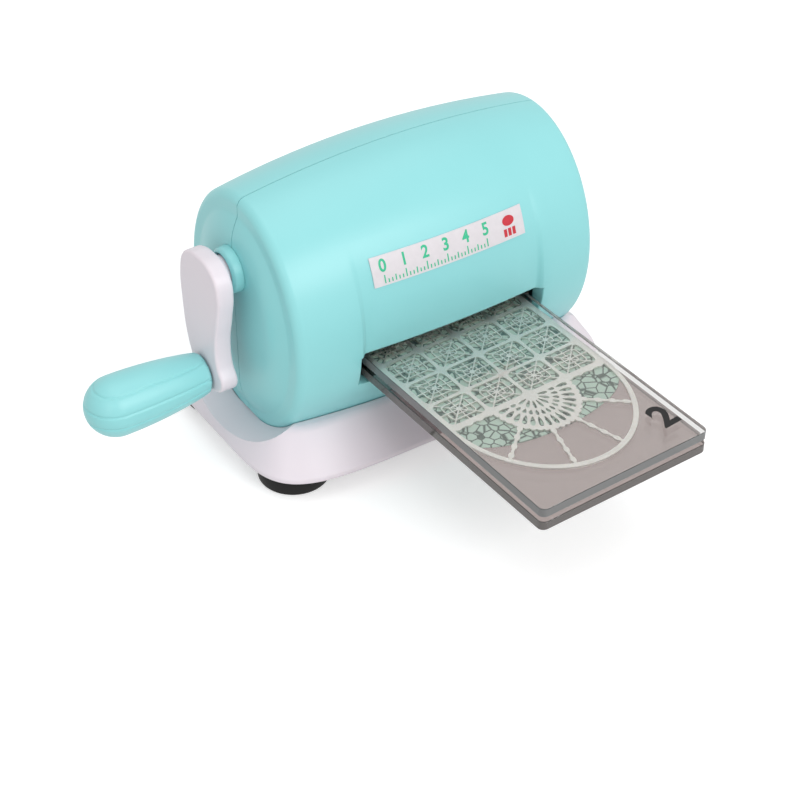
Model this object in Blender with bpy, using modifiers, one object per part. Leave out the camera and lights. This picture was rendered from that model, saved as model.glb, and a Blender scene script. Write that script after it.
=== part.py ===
"""Hand cranked table-top die cutting machine with its stack of cutting plates.

Metres, Z up. Inside the machine frame X runs along the rollers towards the end
away from the crank, Y runs from the front slot to the rear slot, and Z is zero on
the table. The whole model hangs on one empty that brings the middle of the
bounding box's foot to the origin.
"""
import math

import bmesh
import bpy
from mathutils import Matrix, Vector

# Clearances shared by all pieces
fit_gap = 0.0003
overrun = 0.004

# Casing: a barrel of oval section lying along X, closed by crowned ends
body_half_depth = 0.0451
body_bed_depth = 0.0092
body_top_rise = 0.0337
body_taper_share = 0.102
body_end_round = 0.0032
end_crown_rise = 0.0033
end_crown_width = 0.0150
casing_wall = 0.0025
panel_slot_inset = 0.0030
panel_step_width = 0.0033
panel_depth = 0.0024
panel_top_drop = 0.0172
ledge_height = 0.0003

# Cutting plates and what lies between them
plate_half_width = 0.0375
plate_length = 0.152
plate_corner = 0.0026
plate_skew = math.radians(2.0)
plate_reach = 0.1437
lower_plate_thickness = 0.0039
upper_plate_thickness = 0.0038
die_thickness = 0.0007
paper_thickness = 0.0003
die_half_width = 0.0362
die_length = 0.120
die_arch_drop = 0.0430
die_front_margin = 0.0112
die_ring_width = 0.0018
die_bar_width = 0.0014
die_hub_radius = 0.0170
fan_windows = 5
fan_outer_shares = (-1, -0.5, 0, 0.5, 1)
tile_rows = 5
tile_columns = 4
tile_outline_shares = ((0.50, 0.0), (0.47, 0.36), (0.36, 0.47), (0.0, 0.50), (-0.36, 0.47),
                       (-0.47, 0.36), (-0.50, 0.0), (-0.47, -0.36), (-0.36, -0.47),
                       (0.0, -0.50), (0.36, -0.47), (0.47, -0.36))
paper_half_width = 0.0350
paper_length = 0.098
paper_front_margin = 0.034
paper_arch_drop = 0.014

# Slot through both casing halves
slot_side_play = 0.0040
slot_play_below = 0.0010
slot_play_above = 0.0025
slot_lip = 0.0020
slot_depth = 0.0090

# Pressure rollers
roller_radius = 0.0100
roller_end_margin = 0.0020
roller_edge = 0.0008
roller_play = 0.0004
journal_radius = 0.0030
journal_overhang = 0.0012

# Side frames, bushings and tie rods
frame_thickness = 0.0030
frame_half_width = 0.0200
frame_foot_clearance = 0.0010
frame_shoulder = 0.0130
frame_top_margin = 0.0125
frame_foot_rise = 0.0035
frame_foot_flare = 0.0070
frame_tab_length = 0.0110
frame_tab_half_width = 0.0110
bushing_wall = 0.0022
bushing_flange = 0.0009
bushing_flange_lip = 0.0014
rod_radius = 0.0025
rod_pin_radius = 0.0018
rod_half_spacing = 0.0148
rod_upper_drop = 0.0050
rod_lower_rise = 0.0105

# Gear train
gear_width = 0.0060
gear_side_gap = 0.0008
gear_deck_clearance = 0.0016
pinion_teeth = 10
drive_teeth = 20
roller_gear_teeth = 20
pressure_angle = math.radians(20)
tooth_thickness_share = 0.80
addendum_share = 0.85
dedendum_share = 1.20

# Crank
crank_roller_clearance = 0.0060
crank_throw = 0.0417
shaft_radius = 0.0030
shaft_flat_depth = 0.0008
collar_reach = 0.0044
collar_radius = 0.0088
collar_root_radius = 0.0092
collar_neck_radius = 0.0072
collar_cup_radius = 0.0073
collar_cup_depth = 0.0030
collar_edge = 0.0010
arm_gap = 0.0029
arm_thickness = 0.0072
arm_edge = 0.0014
arm_spigot_radius = 0.0064
arm_socket_depth = 0.0052
arm_head_height = 0.0105
arm_toe_drop = 0.0063
arm_front_width = 0.0144
arm_rear_width = 0.0150
arm_head_shares = ((0.0, 1.0), (-0.55, 0.92), (-0.89, 0.55), (-1.0, 0.0))
arm_front_shares = ((-0.86, 0.29), (-0.68, 0.58), (-0.72, 0.82), (-0.93, 0.96))
arm_toe_shares = ((-0.80, 0.43), (-0.45, 0.85), (0.0, 1.0), (0.38, 0.64))
arm_rear_shares = ((0.65, 0.96), (0.88, 0.75), (1.0, 0.40), (0.98, 0.05))
arm_crown_shares = ((0.78, 0.55), (0.42, 0.89))

# Handle grip and its pin
grip_length = 0.0489
grip_neck_radius = 0.0083
grip_belly_radius = 0.0118
grip_belly_place_share = 0.75
grip_swell_share = 0.8
grip_neck_round = 0.0010
pin_radius = 0.0020
pin_head_radius = 0.0040
pin_head_height = 0.0016
pin_reach = 0.0330

# Base
foot_height = 0.0080
base_lip_height = 0.0016
base_shift = 0.0018
base_end_margin = 0.0133
base_side_margin = 0.0057
base_square_share = 5.0
base_top_height = 0.0246
base_top_end_margin = 0.0038
base_top_side_margin = 0.0013
base_top_square_share = 6.3
deck_height = 0.0130
deck_thickness = 0.0025
saddle_side_inset = 0.0036
saddle_fall_share = 0.06
saddle_spread_share = 1.0
pan_margin_length = 0.0120
pan_margin_depth = 0.0040
hollow_half_length = 0.0560
hollow_foot_inset = 0.0060
hollow_foot_width = 0.0140
hollow_top_drop = 0.0060
hollow_top_reach = 0.0022

# Feet
foot_radius = 0.0141
foot_inset_length = 0.0177
foot_body_screw_clearance = 0.0043
foot_edge = 0.0008
foot_cup_radius = 0.0046
foot_cup_depth = 0.0040

# Screws
screw_radius = 0.0015
screw_head_radius = 0.0028
screw_head_height = 0.0016
screw_slot_width = 0.0008
screw_slot_depth = 0.0007
screw_tip_share = 0.6
foot_screw_length = 0.0085
frame_screw_length = 0.0060
body_screw_length = 0.0085
casing_screw_length = 0.0160
boss_wall = 0.0022
boss_end_inset = 0.0054
boss_journal_clearance = 0.0012
casing_boss_top_drop = 0.0175
casing_boss_foot_rise = 0.0140
casing_screw_seat = 0.0080
body_boss_height = 0.0075
body_boss_half_spacing = 0.0078
body_boss_end_inset = 0.0039

# Label
label_end_inset = 0.0052
label_top_drop = 0.0068
label_width = 0.0099
label_thickness = 0.0003

# Smoothness of the round faces, as counts and the angle that still looks round
sharp_angle = math.radians(38)
barrel_low_steps = 9
barrel_high_steps = 13
barrel_bays = 3
crown_steps = 4
corner_steps = 3
turned_sides = 22
bushing_sides = 18
screw_sides = 10
outline_sides = 60
arm_steps = 2
grip_steps = 7
label_columns = 10
label_rows = 3

# Heights that follow from the ones above, from the deck up
stack_height = (lower_plate_thickness + die_thickness + paper_thickness
                + upper_plate_thickness + 3 * fit_gap)
roller_spacing = 2 * roller_radius + 2 * roller_play + stack_height
roller_module = roller_spacing / roller_gear_teeth
lower_roller_height = (deck_height + gear_deck_clearance + roller_spacing / 2
                       + addendum_share * roller_module)
upper_roller_height = lower_roller_height + roller_spacing
stack_bottom = lower_roller_height + roller_radius + roller_play
stack_top = stack_bottom + stack_height
slot_bottom = stack_bottom - slot_play_below
slot_top = stack_top + slot_play_above
crank_axis_height = upper_roller_height + roller_radius + crank_roller_clearance + shaft_radius
body_top = crank_axis_height + body_top_rise
body_bottom = deck_height - body_bed_depth
body_half_height = (body_top - body_bottom) / 2
body_axis_height = (body_top + body_bottom) / 2
panel_top = body_top - panel_top_drop
label_top = panel_top - label_top_drop
label_bottom = label_top - label_width

# Widths and lengths that follow, from the slot outwards
slot_half_width = plate_half_width + slot_side_play
panel_half_width = slot_half_width - panel_slot_inset
label_half_length = panel_half_width - label_end_inset
roller_half_length = slot_half_width + roller_end_margin
bushing_radius = journal_radius + fit_gap + bushing_wall
frame_inner = roller_half_length + bushing_flange + 2 * fit_gap
frame_outer = frame_inner + frame_thickness
gear_start = frame_outer + fit_gap + gear_side_gap
gear_end = gear_start + gear_width
boss_radius = screw_radius + fit_gap + boss_wall
boss_x = gear_end + journal_overhang + boss_journal_clearance + boss_radius
body_half_length = boss_x + boss_end_inset
body_end_face = body_half_length + end_crown_rise
body_boss_x = body_half_length - body_boss_end_inset
frame_foot = deck_height + fit_gap
frame_top = crank_axis_height + frame_top_margin
deck_underside = deck_height - deck_thickness
arm_inner = body_end_face + collar_reach + arm_gap
arm_outer = arm_inner + arm_thickness
grip_start = arm_outer + 2 * fit_gap
grip_end = grip_start + grip_length
collar_face = body_end_face + collar_reach
plate_drift = (slot_half_width - fit_gap - plate_half_width / math.cos(plate_skew)
               - body_half_depth * math.tan(plate_skew))
casing_boss_top = body_top - casing_boss_top_drop
casing_boss_foot = deck_height + casing_boss_foot_rise
frame_end_share = 1 - body_taper_share * (frame_outer / body_half_length) ** 2
frame_foot_fall_share = ((body_axis_height - frame_foot)
                         / (body_half_height * frame_end_share - casing_wall))
frame_foot_half_width = ((body_half_depth * frame_end_share - casing_wall)
                         * math.sqrt(1 - frame_foot_fall_share ** 2) - frame_foot_clearance)
base_half_length = body_half_length + base_end_margin
base_half_depth = body_half_depth + base_side_margin
base_top_half_length = body_half_length + base_top_end_margin
base_top_fall_share = (body_axis_height - base_top_height) / body_half_height
base_top_half_depth = (body_half_depth * math.sqrt(1 - base_top_fall_share ** 2)
                       + base_top_side_margin)
saddle_half_depth = body_half_depth - saddle_side_inset
foot_x = base_half_length - foot_inset_length
foot_y = body_boss_half_spacing + screw_head_radius + foot_body_screw_clearance + foot_radius

# Middle of the footprint, which the model is moved from
front_reach = (plate_reach - plate_corner + plate_corner / math.cos(plate_skew)
               + (plate_half_width - plate_corner) * math.sin(plate_skew))
footprint_x = (base_half_length - base_shift - grip_end) / 2
footprint_y = (base_half_depth - front_reach) / 2

PARTS = "die_cutting_machine"
CUTTERS = "cutters"


def clear_scene():
    for item in list(bpy.data.objects):
        bpy.data.objects.remove(item, do_unlink=True)
    for name in (PARTS, CUTTERS):
        group = bpy.data.collections.new(name)
        bpy.context.scene.collection.children.link(group)


def colour(red, green, blue, roughness, metallic, name):
    """A plain finish; the colour is in linear values."""
    finish = bpy.data.materials.new(name)
    finish.use_nodes = True
    shader = finish.node_tree.nodes["Principled BSDF"]
    shader.inputs["Base Color"].default_value = (red, green, blue, 1)
    shader.inputs["Roughness"].default_value = roughness
    shader.inputs["Metallic"].default_value = metallic
    finish.diffuse_color = (red, green, blue, 1)
    return finish


def empty(name, place, parent=None):
    """An axis or reference point that pieces hang on."""
    point = bpy.data.objects.new(name, None)
    bpy.data.collections[PARTS].objects.link(point)
    point.parent = parent
    point.location = place
    return point


def piece(name, data, finish, parent, place=(0, 0, 0)):
    """A named part of the machine."""
    item = bpy.data.objects.new(name, data)
    bpy.data.collections[PARTS].objects.link(item)
    item.data.materials.append(finish)
    item.parent = parent
    item.location = place
    return item


def cutter(name, data, parent, place=(0, 0, 0)):
    """A tool body: it shapes parts and is no part itself."""
    item = bpy.data.objects.new(name, data)
    bpy.data.collections[CUTTERS].objects.link(item)
    item.parent = parent
    item.location = place
    item.hide_render = True
    item.display_type = "WIRE"
    return item


def combine(item, tool, operation):
    change = item.modifiers.new(tool.name, "BOOLEAN")
    change.operation = operation
    change.object = tool
    change.solver = "EXACT"


def round_shading(data):
    data.shade_smooth()
    data.set_sharp_from_angle(angle=sharp_angle)
    return data


def baked(item):
    """The evaluated mesh of an object, which is then removed."""
    bpy.context.view_layer.update()
    graph = bpy.context.evaluated_depsgraph_get()
    data = bpy.data.meshes.new_from_object(item.evaluated_get(graph))
    bpy.data.objects.remove(item, do_unlink=True)
    work = bmesh.new()
    work.from_mesh(data)
    bmesh.ops.remove_doubles(work, verts=work.verts, dist=fit_gap / 100)
    work.to_mesh(data)
    work.free()
    return data


def turned(profile, sides=turned_sides, along="X"):
    """A turned solid from (place along the axis, radius) points, highest place first."""
    outline = bpy.data.meshes.new("profile")
    points = [(radius, 0, place) for place, radius in profile]
    edges = [(i, i + 1) for i in range(len(points) - 1)]
    if profile[0][1] > 0:
        edges.append((len(points) - 1, 0))
    outline.from_pydata(points, edges, [])
    item = bpy.data.objects.new("profile", outline)
    bpy.context.scene.collection.objects.link(item)
    screw = item.modifiers.new("turn", "SCREW")
    screw.axis = "Z"
    screw.steps = sides
    screw.render_steps = sides
    screw.use_merge_vertices = True
    screw.merge_threshold = fit_gap / 100
    data = baked(item)
    if along == "X":
        data.transform(Matrix.Rotation(math.pi / 2, 4, "Y"))
    if along == "Y":
        data.transform(Matrix.Rotation(-math.pi / 2, 4, "X"))
    return round_shading(data)


def box(low, high):
    """A box between two corners."""
    data = bpy.data.meshes.new("box")
    work = bmesh.new()
    bmesh.ops.create_cube(work, size=1)
    size = [high[i] - low[i] for i in range(3)]
    middle = [(high[i] + low[i]) / 2 for i in range(3)]
    bmesh.ops.scale(work, vec=size, verts=work.verts)
    bmesh.ops.translate(work, vec=middle, verts=work.verts)
    work.to_mesh(data)
    work.free()
    return data


def loft(rings):
    """A closed solid through rings of as many points each."""
    data = bpy.data.meshes.new("loft")
    work = bmesh.new()
    loops = [[work.verts.new(point) for point in ring] for ring in rings]
    for near, far in zip(loops, loops[1:]):
        for i in range(len(near)):
            j = (i + 1) % len(near)
            work.faces.new((near[i], near[j], far[j], far[i]))
    work.faces.new(loops[0])
    work.faces.new(loops[-1])
    bmesh.ops.recalc_face_normals(work, faces=work.faces)
    work.to_mesh(data)
    work.free()
    return round_shading(data)


def flat_piece(outlines, thickness, edge=0):
    """A plate along Z whose first outline is the rim and the others are holes."""
    shape = bpy.data.curves.new("outline", "CURVE")
    shape.dimensions = "2D"
    shape.fill_mode = "BOTH"
    for outline in outlines:
        line = shape.splines.new("POLY")
        line.points.add(len(outline) - 1)
        for point, (x, y) in zip(line.points, outline):
            point.co = (x, y, 0, 1)
        line.use_cyclic_u = True
    shape.extrude = thickness / 2 - edge
    shape.bevel_depth = edge
    shape.bevel_resolution = 1
    shape.offset = -edge
    item = bpy.data.objects.new("outline", shape)
    bpy.context.scene.collection.objects.link(item)
    return baked(item)


def circle(radius, sides, centre=(0, 0), turn=0):
    points = []
    for i in range(sides):
        angle = turn + 2 * math.pi * i / sides
        points.append((centre[0] + radius * math.cos(angle), centre[1] + radius * math.sin(angle)))
    return points


def rounded_rectangle(half_x, half_y, radius, steps=corner_steps):
    points = []
    for corner in range(4):
        sign_x = 1 if corner in (0, 3) else -1
        sign_y = 1 if corner in (0, 1) else -1
        for i in range(steps + 1):
            angle = (corner + i / steps) * math.pi / 2
            x = sign_x * (half_x - radius) + radius * math.cos(angle)
            y = sign_y * (half_y - radius) + radius * math.sin(angle)
            points.append((x, y))
    return points


def smooth_outline(points, steps):
    """A closed Catmull-Rom curve through the points."""
    count = len(points)
    result = []
    for i in range(count):
        p0, p1, p2, p3 = (Vector(points[(i + k - 1) % count]) for k in range(4))
        for j in range(steps):
            t = j / steps
            blend = ((2 * p1) + (p2 - p0) * t + (2 * p0 - 5 * p1 + 4 * p2 - p3) * t ** 2
                     + (3 * p1 - p0 - 3 * p2 + p3) * t ** 3) / 2
            result.append((blend.x, blend.y))
    return result


def superellipse(half_x, half_y, power, sides):
    points = []
    for i in range(sides):
        angle = 2 * math.pi * i / sides
        c, s = math.cos(angle), math.sin(angle)
        points.append((half_x * math.copysign(abs(c) ** (2 / power), c),
                       half_y * math.copysign(abs(s) ** (2 / power), s)))
    return points


def stand_up(data):
    """Turn a plate drawn as (Y, Z) so that it stands across X."""
    data.transform(Matrix(((0, 0, 1, 0), (1, 0, 0, 0), (0, 1, 0, 0), (0, 0, 0, 1))))
    return data


def barrel_section(x, grow):
    """Half depth and half height of the barrel at x, offset outwards by grow."""
    swell = 1 - body_taper_share * (x / body_half_length) ** 2
    return body_half_depth * swell + grow, body_half_height * swell + grow


def panel_recess(x, z):
    """Depth of the shallow panel above each slot, which fades out towards its top."""
    step = min(max((abs(x) - panel_half_width) / panel_step_width, 0), 1)
    fade = min((panel_top - z) / (panel_top - slot_top), 1)
    if z < slot_bottom or fade < 0:
        return 0
    return panel_depth * (1 - step) * fade


def barrel_ring(x, grow, inset):
    """One section of the barrel; two of its points mark the ledge under each slot."""
    half_depth, half_height = barrel_section(x, grow)
    half_depth -= inset
    half_height -= inset
    upper = math.asin((slot_bottom - body_axis_height) / half_height)
    lower = math.asin((slot_bottom - ledge_height - body_axis_height) / half_height)
    low_share = [i / barrel_low_steps for i in range(barrel_low_steps + 1)]
    high_share = [i / barrel_high_steps for i in range(barrel_high_steps + 1)]
    angles = [-math.pi / 2 + (lower + math.pi / 2) * share for share in low_share]
    angles += [upper + (math.pi / 2 - upper) * share for share in high_share]
    side = []
    for angle in angles:
        z = body_axis_height + half_height * math.sin(angle)
        reach = half_depth * math.cos(angle)
        side.append((reach - panel_recess(x, z + ledge_height / 2), z))
    ring = [(x, y, z) for y, z in side]
    ring += [(x, -y, z) for y, z in side[-2:0:-1]]
    return ring


def barrel(grow):
    """The casing's outer form with its crowned ends, offset outwards by grow."""
    round_radius = max(body_end_round + grow, fit_gap)
    turn = math.pi / 2 - math.atan(2 * end_crown_rise / end_crown_width)
    straight = body_half_length + grow - round_radius * math.sin(turn)
    stops = [straight * i / barrel_bays for i in range(barrel_bays)]
    stops = [stop for stop in stops if abs(stop - panel_half_width) > panel_step_width]
    stops += [panel_half_width, panel_half_width + panel_step_width]
    stations = [(stop, 0) for stop in sorted(stops)]
    for i in range(corner_steps + 1):
        angle = turn * i / corner_steps
        stations.append((straight + round_radius * math.sin(angle),
                         round_radius * (1 - math.cos(angle))))
    rim, rim_inset = stations[-1]
    for i in range(1, crown_steps + 1):
        share = i / crown_steps
        stations.append((rim + end_crown_rise * share * (2 - share),
                         rim_inset + end_crown_width * share))
    stations = [(-x, inset) for x, inset in reversed(stations) if x > 0] + stations
    return loft([barrel_ring(x, grow, inset) for x, inset in stations])


def hollow_box(low, high, wall):
    """A rectangular sleeve along Y, and the way through it, as two meshes."""
    sleeve = box((low[0] - wall, low[1], low[2] - wall), (high[0] + wall, high[1], high[2] + wall))
    way = box((low[0], low[1] - overrun, low[2]), (high[0], high[1] + overrun, high[2]))
    return sleeve, way


def add_screw(name, length, finish, parent, place, pitch=0):
    """A slotted pan head screw, tip up unless pitched over, whose head seats at place."""
    shank = screw_radius
    profile = [(length, 0), (length, shank * screw_tip_share), (length - shank, shank), (0, shank),
               (0, screw_head_radius), (-screw_head_height, screw_head_radius),
               (-screw_head_height, 0)]
    item = piece(name, turned(profile, screw_sides, "Z"), finish, parent, place)
    item.rotation_euler = (pitch, 0, 0)
    reach = screw_head_radius + overrun
    slot = box((-reach, -screw_slot_width / 2, -screw_head_height - overrun),
               (reach, screw_slot_width / 2, -screw_head_height + screw_slot_depth))
    combine(item, cutter(name + "_slot", slot, item), "DIFFERENCE")


def drill(item, name, radius, low, high, parent, place, along="Z"):
    """A round hole between two places along an axis."""
    tool = cutter(name, turned([(high, 0), (high, radius), (low, radius), (low, 0)],
                               screw_sides, along), parent, place)
    combine(item, tool, "DIFFERENCE")


def casing_half(name, side, finish, parent, forms):
    """One half of the barrel casing with its slot sleeve and screw bosses."""
    item = piece(name, forms["outer"].data.copy(), finish, parent)
    combine(item, forms["inner"], "DIFFERENCE")
    far = body_half_depth + overrun
    low_y, high_y = sorted((side * (body_half_depth - slot_depth), side * far))
    sleeve, way = hollow_box((-slot_half_width, low_y, slot_bottom),
                             (slot_half_width, high_y, slot_top), slot_lip)
    sleeve = cutter(name + "_sleeve", sleeve, parent)
    combine(sleeve, forms["trim"], "INTERSECT")
    combine(item, sleeve, "UNION")
    boss_places = [(end * boss_x, height) for end in (-1, 1)
                   for height in (casing_boss_foot, casing_boss_top)]
    low, high = sorted((0, side * body_half_depth))
    column = [(high, 0), (high, boss_radius), (low, boss_radius), (low, 0)]
    for i, (x, z) in enumerate(boss_places):
        post = cutter(f"{name}_boss_{i}", turned(column, screw_sides, "Y"), parent, (x, 0, z))
        combine(post, forms["trim"], "INTERSECT")
        combine(item, post, "UNION")
    for i, end in enumerate((-1, 1)):
        post = cutter(f"{name}_foot_boss_{i}",
                      turned([(body_boss_height, 0), (body_boss_height, boss_radius),
                              (-overrun, boss_radius), (-overrun, 0)], screw_sides, "Z"),
                      parent, (end * body_boss_x, side * body_boss_half_spacing, frame_foot))
        combine(post, forms["trim"], "INTERSECT")
        combine(item, post, "UNION")
    span = body_end_face + overrun
    low_y, high_y = sorted((side * fit_gap / 2, side * far))
    keep = box((-span, low_y, frame_foot),
               (span, high_y, body_top + overrun))
    combine(item, cutter(name + "_half", keep, parent), "INTERSECT")
    combine(item, cutter(name + "_slot", way, parent), "DIFFERENCE")
    combine(item, forms["collar_hole"], "DIFFERENCE")
    hole = screw_radius + fit_gap
    head_hole = screw_head_radius + fit_gap
    tip = casing_screw_length - casing_screw_seat + fit_gap
    well = [(body_half_depth + overrun, 0), (body_half_depth + overrun, head_hole),
            (casing_screw_seat, head_hole), (casing_screw_seat, hole), (-tip, hole), (-tip, 0)]
    for i, (x, z) in enumerate(boss_places):
        tool = cutter(f"{name}_screw_well_{i}", turned(well, screw_sides, "Y"), parent, (x, 0, z))
        combine(item, tool, "DIFFERENCE")
    for i, end in enumerate((-1, 1)):
        place = (end * body_boss_x, side * body_boss_half_spacing, frame_foot)
        drill(item, f"{name}_foot_hole_{i}", hole, -overrun,
              body_screw_length - deck_thickness, parent, place)


def make_casing(parent, finish, steel):
    forms = {
        "outer": cutter("casing_outer", barrel(0), parent),
        "inner": cutter("casing_inner", barrel(-casing_wall), parent),
        "trim": cutter("casing_middle", barrel(-casing_wall / 2), parent),
    }
    neck = collar_neck_radius + fit_gap
    low = -body_end_face - overrun
    high = -body_end_face + casing_wall + overrun
    hole = turned([(high, 0), (high, neck), (low, neck), (low, 0)])
    forms["collar_hole"] = cutter("collar_hole", hole, parent, (0, 0, crank_axis_height))
    casing_half("front_casing", -1, finish, parent, forms)
    casing_half("rear_casing", 1, finish, parent, forms)
    for end, end_name in ((-1, "left"), (1, "right")):
        for height, level in ((casing_boss_foot, "lower"), (casing_boss_top, "upper")):
            add_screw(f"casing_screw_{level}_{end_name}", casing_screw_length, steel, parent,
                      (end * boss_x, casing_screw_seat + fit_gap, height), math.pi / 2)


def make_base(parent, finish, steel):
    """The plinth: a tray with sloped sides, cut out where the barrel beds into it."""
    rings = []
    for height, half_x, half_y, power in (
            (foot_height, base_half_length, base_half_depth, base_square_share),
            (foot_height + base_lip_height, base_half_length, base_half_depth, base_square_share),
            (base_top_height, base_top_half_length, base_top_half_depth, base_top_square_share)):
        rings.append([(x, y, height) for x, y in superellipse(half_x, half_y, power, outline_sides)])
    middle = empty("base_middle", (-base_shift, 0, 0), parent)
    item = piece("base", loft(rings), finish, middle)
    bed = cutter("base_bed", barrel(fit_gap), parent)
    span = base_half_length + overrun
    combine(bed, cutter("above_deck", box((-span, -span, deck_height),
                                          (span, span, body_axis_height)), parent), "INTERSECT")
    combine(item, bed, "DIFFERENCE")
    for end, end_name in ((-1, "left"), (1, "right")):
        near = body_half_length - fit_gap
        rings = []
        for x in (near, span):
            rise = body_axis_height - deck_height + saddle_fall_share * (x - near)
            spread = saddle_half_depth + saddle_spread_share * (x - near)
            rings.append([(end * x, spread * y, body_axis_height + rise * z)
                          for y, z in circle(1, outline_sides, turn=math.pi / outline_sides)])
        saddle = cutter(f"saddle_{end_name}", loft(rings), parent)
        combine(item, saddle, "DIFFERENCE")
    pan = flat_piece([superellipse(base_half_length - pan_margin_length,
                                   base_half_depth - pan_margin_depth,
                                   base_square_share, outline_sides)],
                     deck_underside - foot_height + overrun)
    pan_middle = (deck_underside + foot_height - overrun) / 2
    pan = cutter("base_pan", pan, middle, (0, 0, pan_middle))
    for i, (sx, sy) in enumerate(((-1, -1), (1, -1), (-1, 1), (1, 1))):
        radius = foot_radius + fit_gap
        block = turned([(overrun, 0), (overrun, radius), (-2 * overrun, radius), (-2 * overrun, 0)],
                       along="Z")
        block = cutter(f"foot_block_{i}", block, middle, (sx * foot_x, sy * foot_y, deck_underside))
        combine(pan, block, "DIFFERENCE")
    combine(item, pan, "DIFFERENCE")
    foot_edge_y = base_half_depth - hollow_foot_inset
    top_edge_y = base_top_half_depth + hollow_top_reach
    for side, side_name in ((-1, "front"), (1, "rear")):
        low = deck_underside - fit_gap
        outline = [(side * foot_edge_y, low), (side * (foot_edge_y - hollow_foot_width), low),
                   (side * top_edge_y, base_top_height - hollow_top_drop)]
        hollow = stand_up(flat_piece([outline], 2 * hollow_half_length))
        combine(item, cutter(f"hollow_{side_name}", hollow, middle), "DIFFERENCE")
    hole = screw_radius + fit_gap
    for i, (sx, sy) in enumerate(((-1, -1), (1, -1), (-1, 1), (1, 1))):
        drill(item, f"foot_hole_{i}", hole, -overrun, foot_screw_length - foot_cup_depth, middle,
              (sx * foot_x, sy * foot_y, foot_height))
        drill(item, f"frame_hole_{i}", hole, -overrun, overrun, parent,
              (sx * (frame_inner - frame_tab_length / 2), sy * frame_tab_half_width / 2, deck_height))
        drill(item, f"body_hole_{i}", hole, -overrun, overrun, parent,
              (sx * body_boss_x, sy * body_boss_half_spacing, deck_height))
    for end, end_name in ((-1, "left"), (1, "right")):
        for side, side_name in ((-1, "front"), (1, "rear")):
            add_screw(f"frame_screw_{side_name}_{end_name}", frame_screw_length, steel, parent,
                      (end * (frame_inner - frame_tab_length / 2), side * frame_tab_half_width / 2,
                       deck_underside - fit_gap))
            add_screw(f"body_screw_{side_name}_{end_name}", body_screw_length, steel, parent,
                      (end * body_boss_x, side * body_boss_half_spacing, deck_underside - fit_gap))
    return middle


def make_feet(parent, rubber, steel):
    for end, end_name in ((-1, "left"), (1, "right")):
        for side, side_name in ((-1, "front"), (1, "rear")):
            hole = screw_radius + fit_gap
            top = foot_height - fit_gap
            profile = [(top, hole), (top, foot_radius), (foot_edge, foot_radius),
                       (0, foot_radius - foot_edge), (0, foot_cup_radius),
                       (foot_cup_depth, foot_cup_radius), (foot_cup_depth, hole)]
            place = (end * foot_x, side * foot_y, 0)
            piece(f"foot_{side_name}_{end_name}", turned(profile, along="Z"), rubber, parent, place)
            add_screw(f"foot_screw_{side_name}_{end_name}", foot_screw_length, steel, parent,
                      (place[0], place[1], foot_cup_depth - fit_gap))


def frame_outline():
    top_half = frame_half_width - frame_shoulder / 2
    return [(-frame_foot_half_width, frame_foot), (frame_foot_half_width, frame_foot),
            (frame_foot_half_width, frame_foot + frame_foot_rise),
            (frame_half_width, frame_foot + frame_foot_rise + frame_foot_flare),
            (frame_half_width, frame_top - frame_shoulder), (top_half, frame_top),
            (-top_half, frame_top), (-frame_half_width, frame_top - frame_shoulder),
            (-frame_half_width, frame_foot + frame_foot_rise + frame_foot_flare),
            (-frame_foot_half_width, frame_foot + frame_foot_rise)]


def rod_places():
    upper = frame_top - frame_shoulder + rod_upper_drop
    lower = frame_foot + rod_lower_rise
    return {"upper_front": (-rod_half_spacing, upper), "upper_rear": (rod_half_spacing, upper),
            "lower_front": (-rod_half_spacing, lower), "lower_rear": (rod_half_spacing, lower)}


def make_frames(parent, plate_finish, bronze, steel):
    bores = {"lower_roller": lower_roller_height, "upper_roller": upper_roller_height,
             "crank": crank_axis_height}
    for end, end_name in ((-1, "left"), (1, "right")):
        middle = end * (frame_inner + frame_outer) / 2
        data = stand_up(flat_piece([frame_outline()], frame_thickness))
        item = piece(f"side_frame_{end_name}", data, plate_finish, parent, (middle, 0, 0))
        near, far = sorted((end * (frame_inner - frame_tab_length),
                            end * (frame_inner + frame_thickness / 2)))
        tab = box((near, -frame_tab_half_width, frame_foot),
                  (far, frame_tab_half_width, frame_foot + frame_thickness))
        combine(item, cutter(f"frame_tab_{end_name}", tab, parent), "UNION")
        for i, side in enumerate((-1, 1)):
            drill(item, f"tab_hole_{end_name}_{i}", screw_radius + fit_gap, -overrun, overrun, parent,
                  (end * (frame_inner - frame_tab_length / 2), side * frame_tab_half_width / 2,
                   frame_foot + frame_thickness / 2))
        for name, (y, z) in rod_places().items():
            drill(item, f"rod_hole_{name}_{end_name}", rod_pin_radius + fit_gap, -overrun, overrun,
                  parent, (middle, y, z), "X")
        for name, height in bores.items():
            drill(item, f"{name}_bore_{end_name}", bushing_radius + fit_gap, -overrun, overrun,
                  parent, (middle, 0, height), "X")
            bore = journal_radius + fit_gap
            profile = [(frame_outer + fit_gap, bore), (frame_outer + fit_gap, bushing_radius),
                       (frame_inner - fit_gap, bushing_radius),
                       (frame_inner - fit_gap, bushing_radius + bushing_flange_lip),
                       (frame_inner - fit_gap - bushing_flange, bushing_radius + bushing_flange_lip),
                       (frame_inner - fit_gap - bushing_flange, bore)]
            data = turned(profile, bushing_sides)
            if end < 0:
                data.transform(Matrix.Rotation(math.pi, 4, "Z"))
            piece(f"{name}_bushing_{end_name}", data, bronze, parent, (0, 0, height))
    for name, (y, z) in rod_places().items():
        shoulder = frame_inner - fit_gap
        tip = frame_outer
        profile = [(tip, 0), (tip, rod_pin_radius), (shoulder, rod_pin_radius),
                   (shoulder, rod_radius), (-shoulder, rod_radius), (-shoulder, rod_pin_radius),
                   (-tip, rod_pin_radius), (-tip, 0)]
        piece(f"tie_rod_{name}", turned(profile, screw_sides), steel, parent, (0, y, z))


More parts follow.
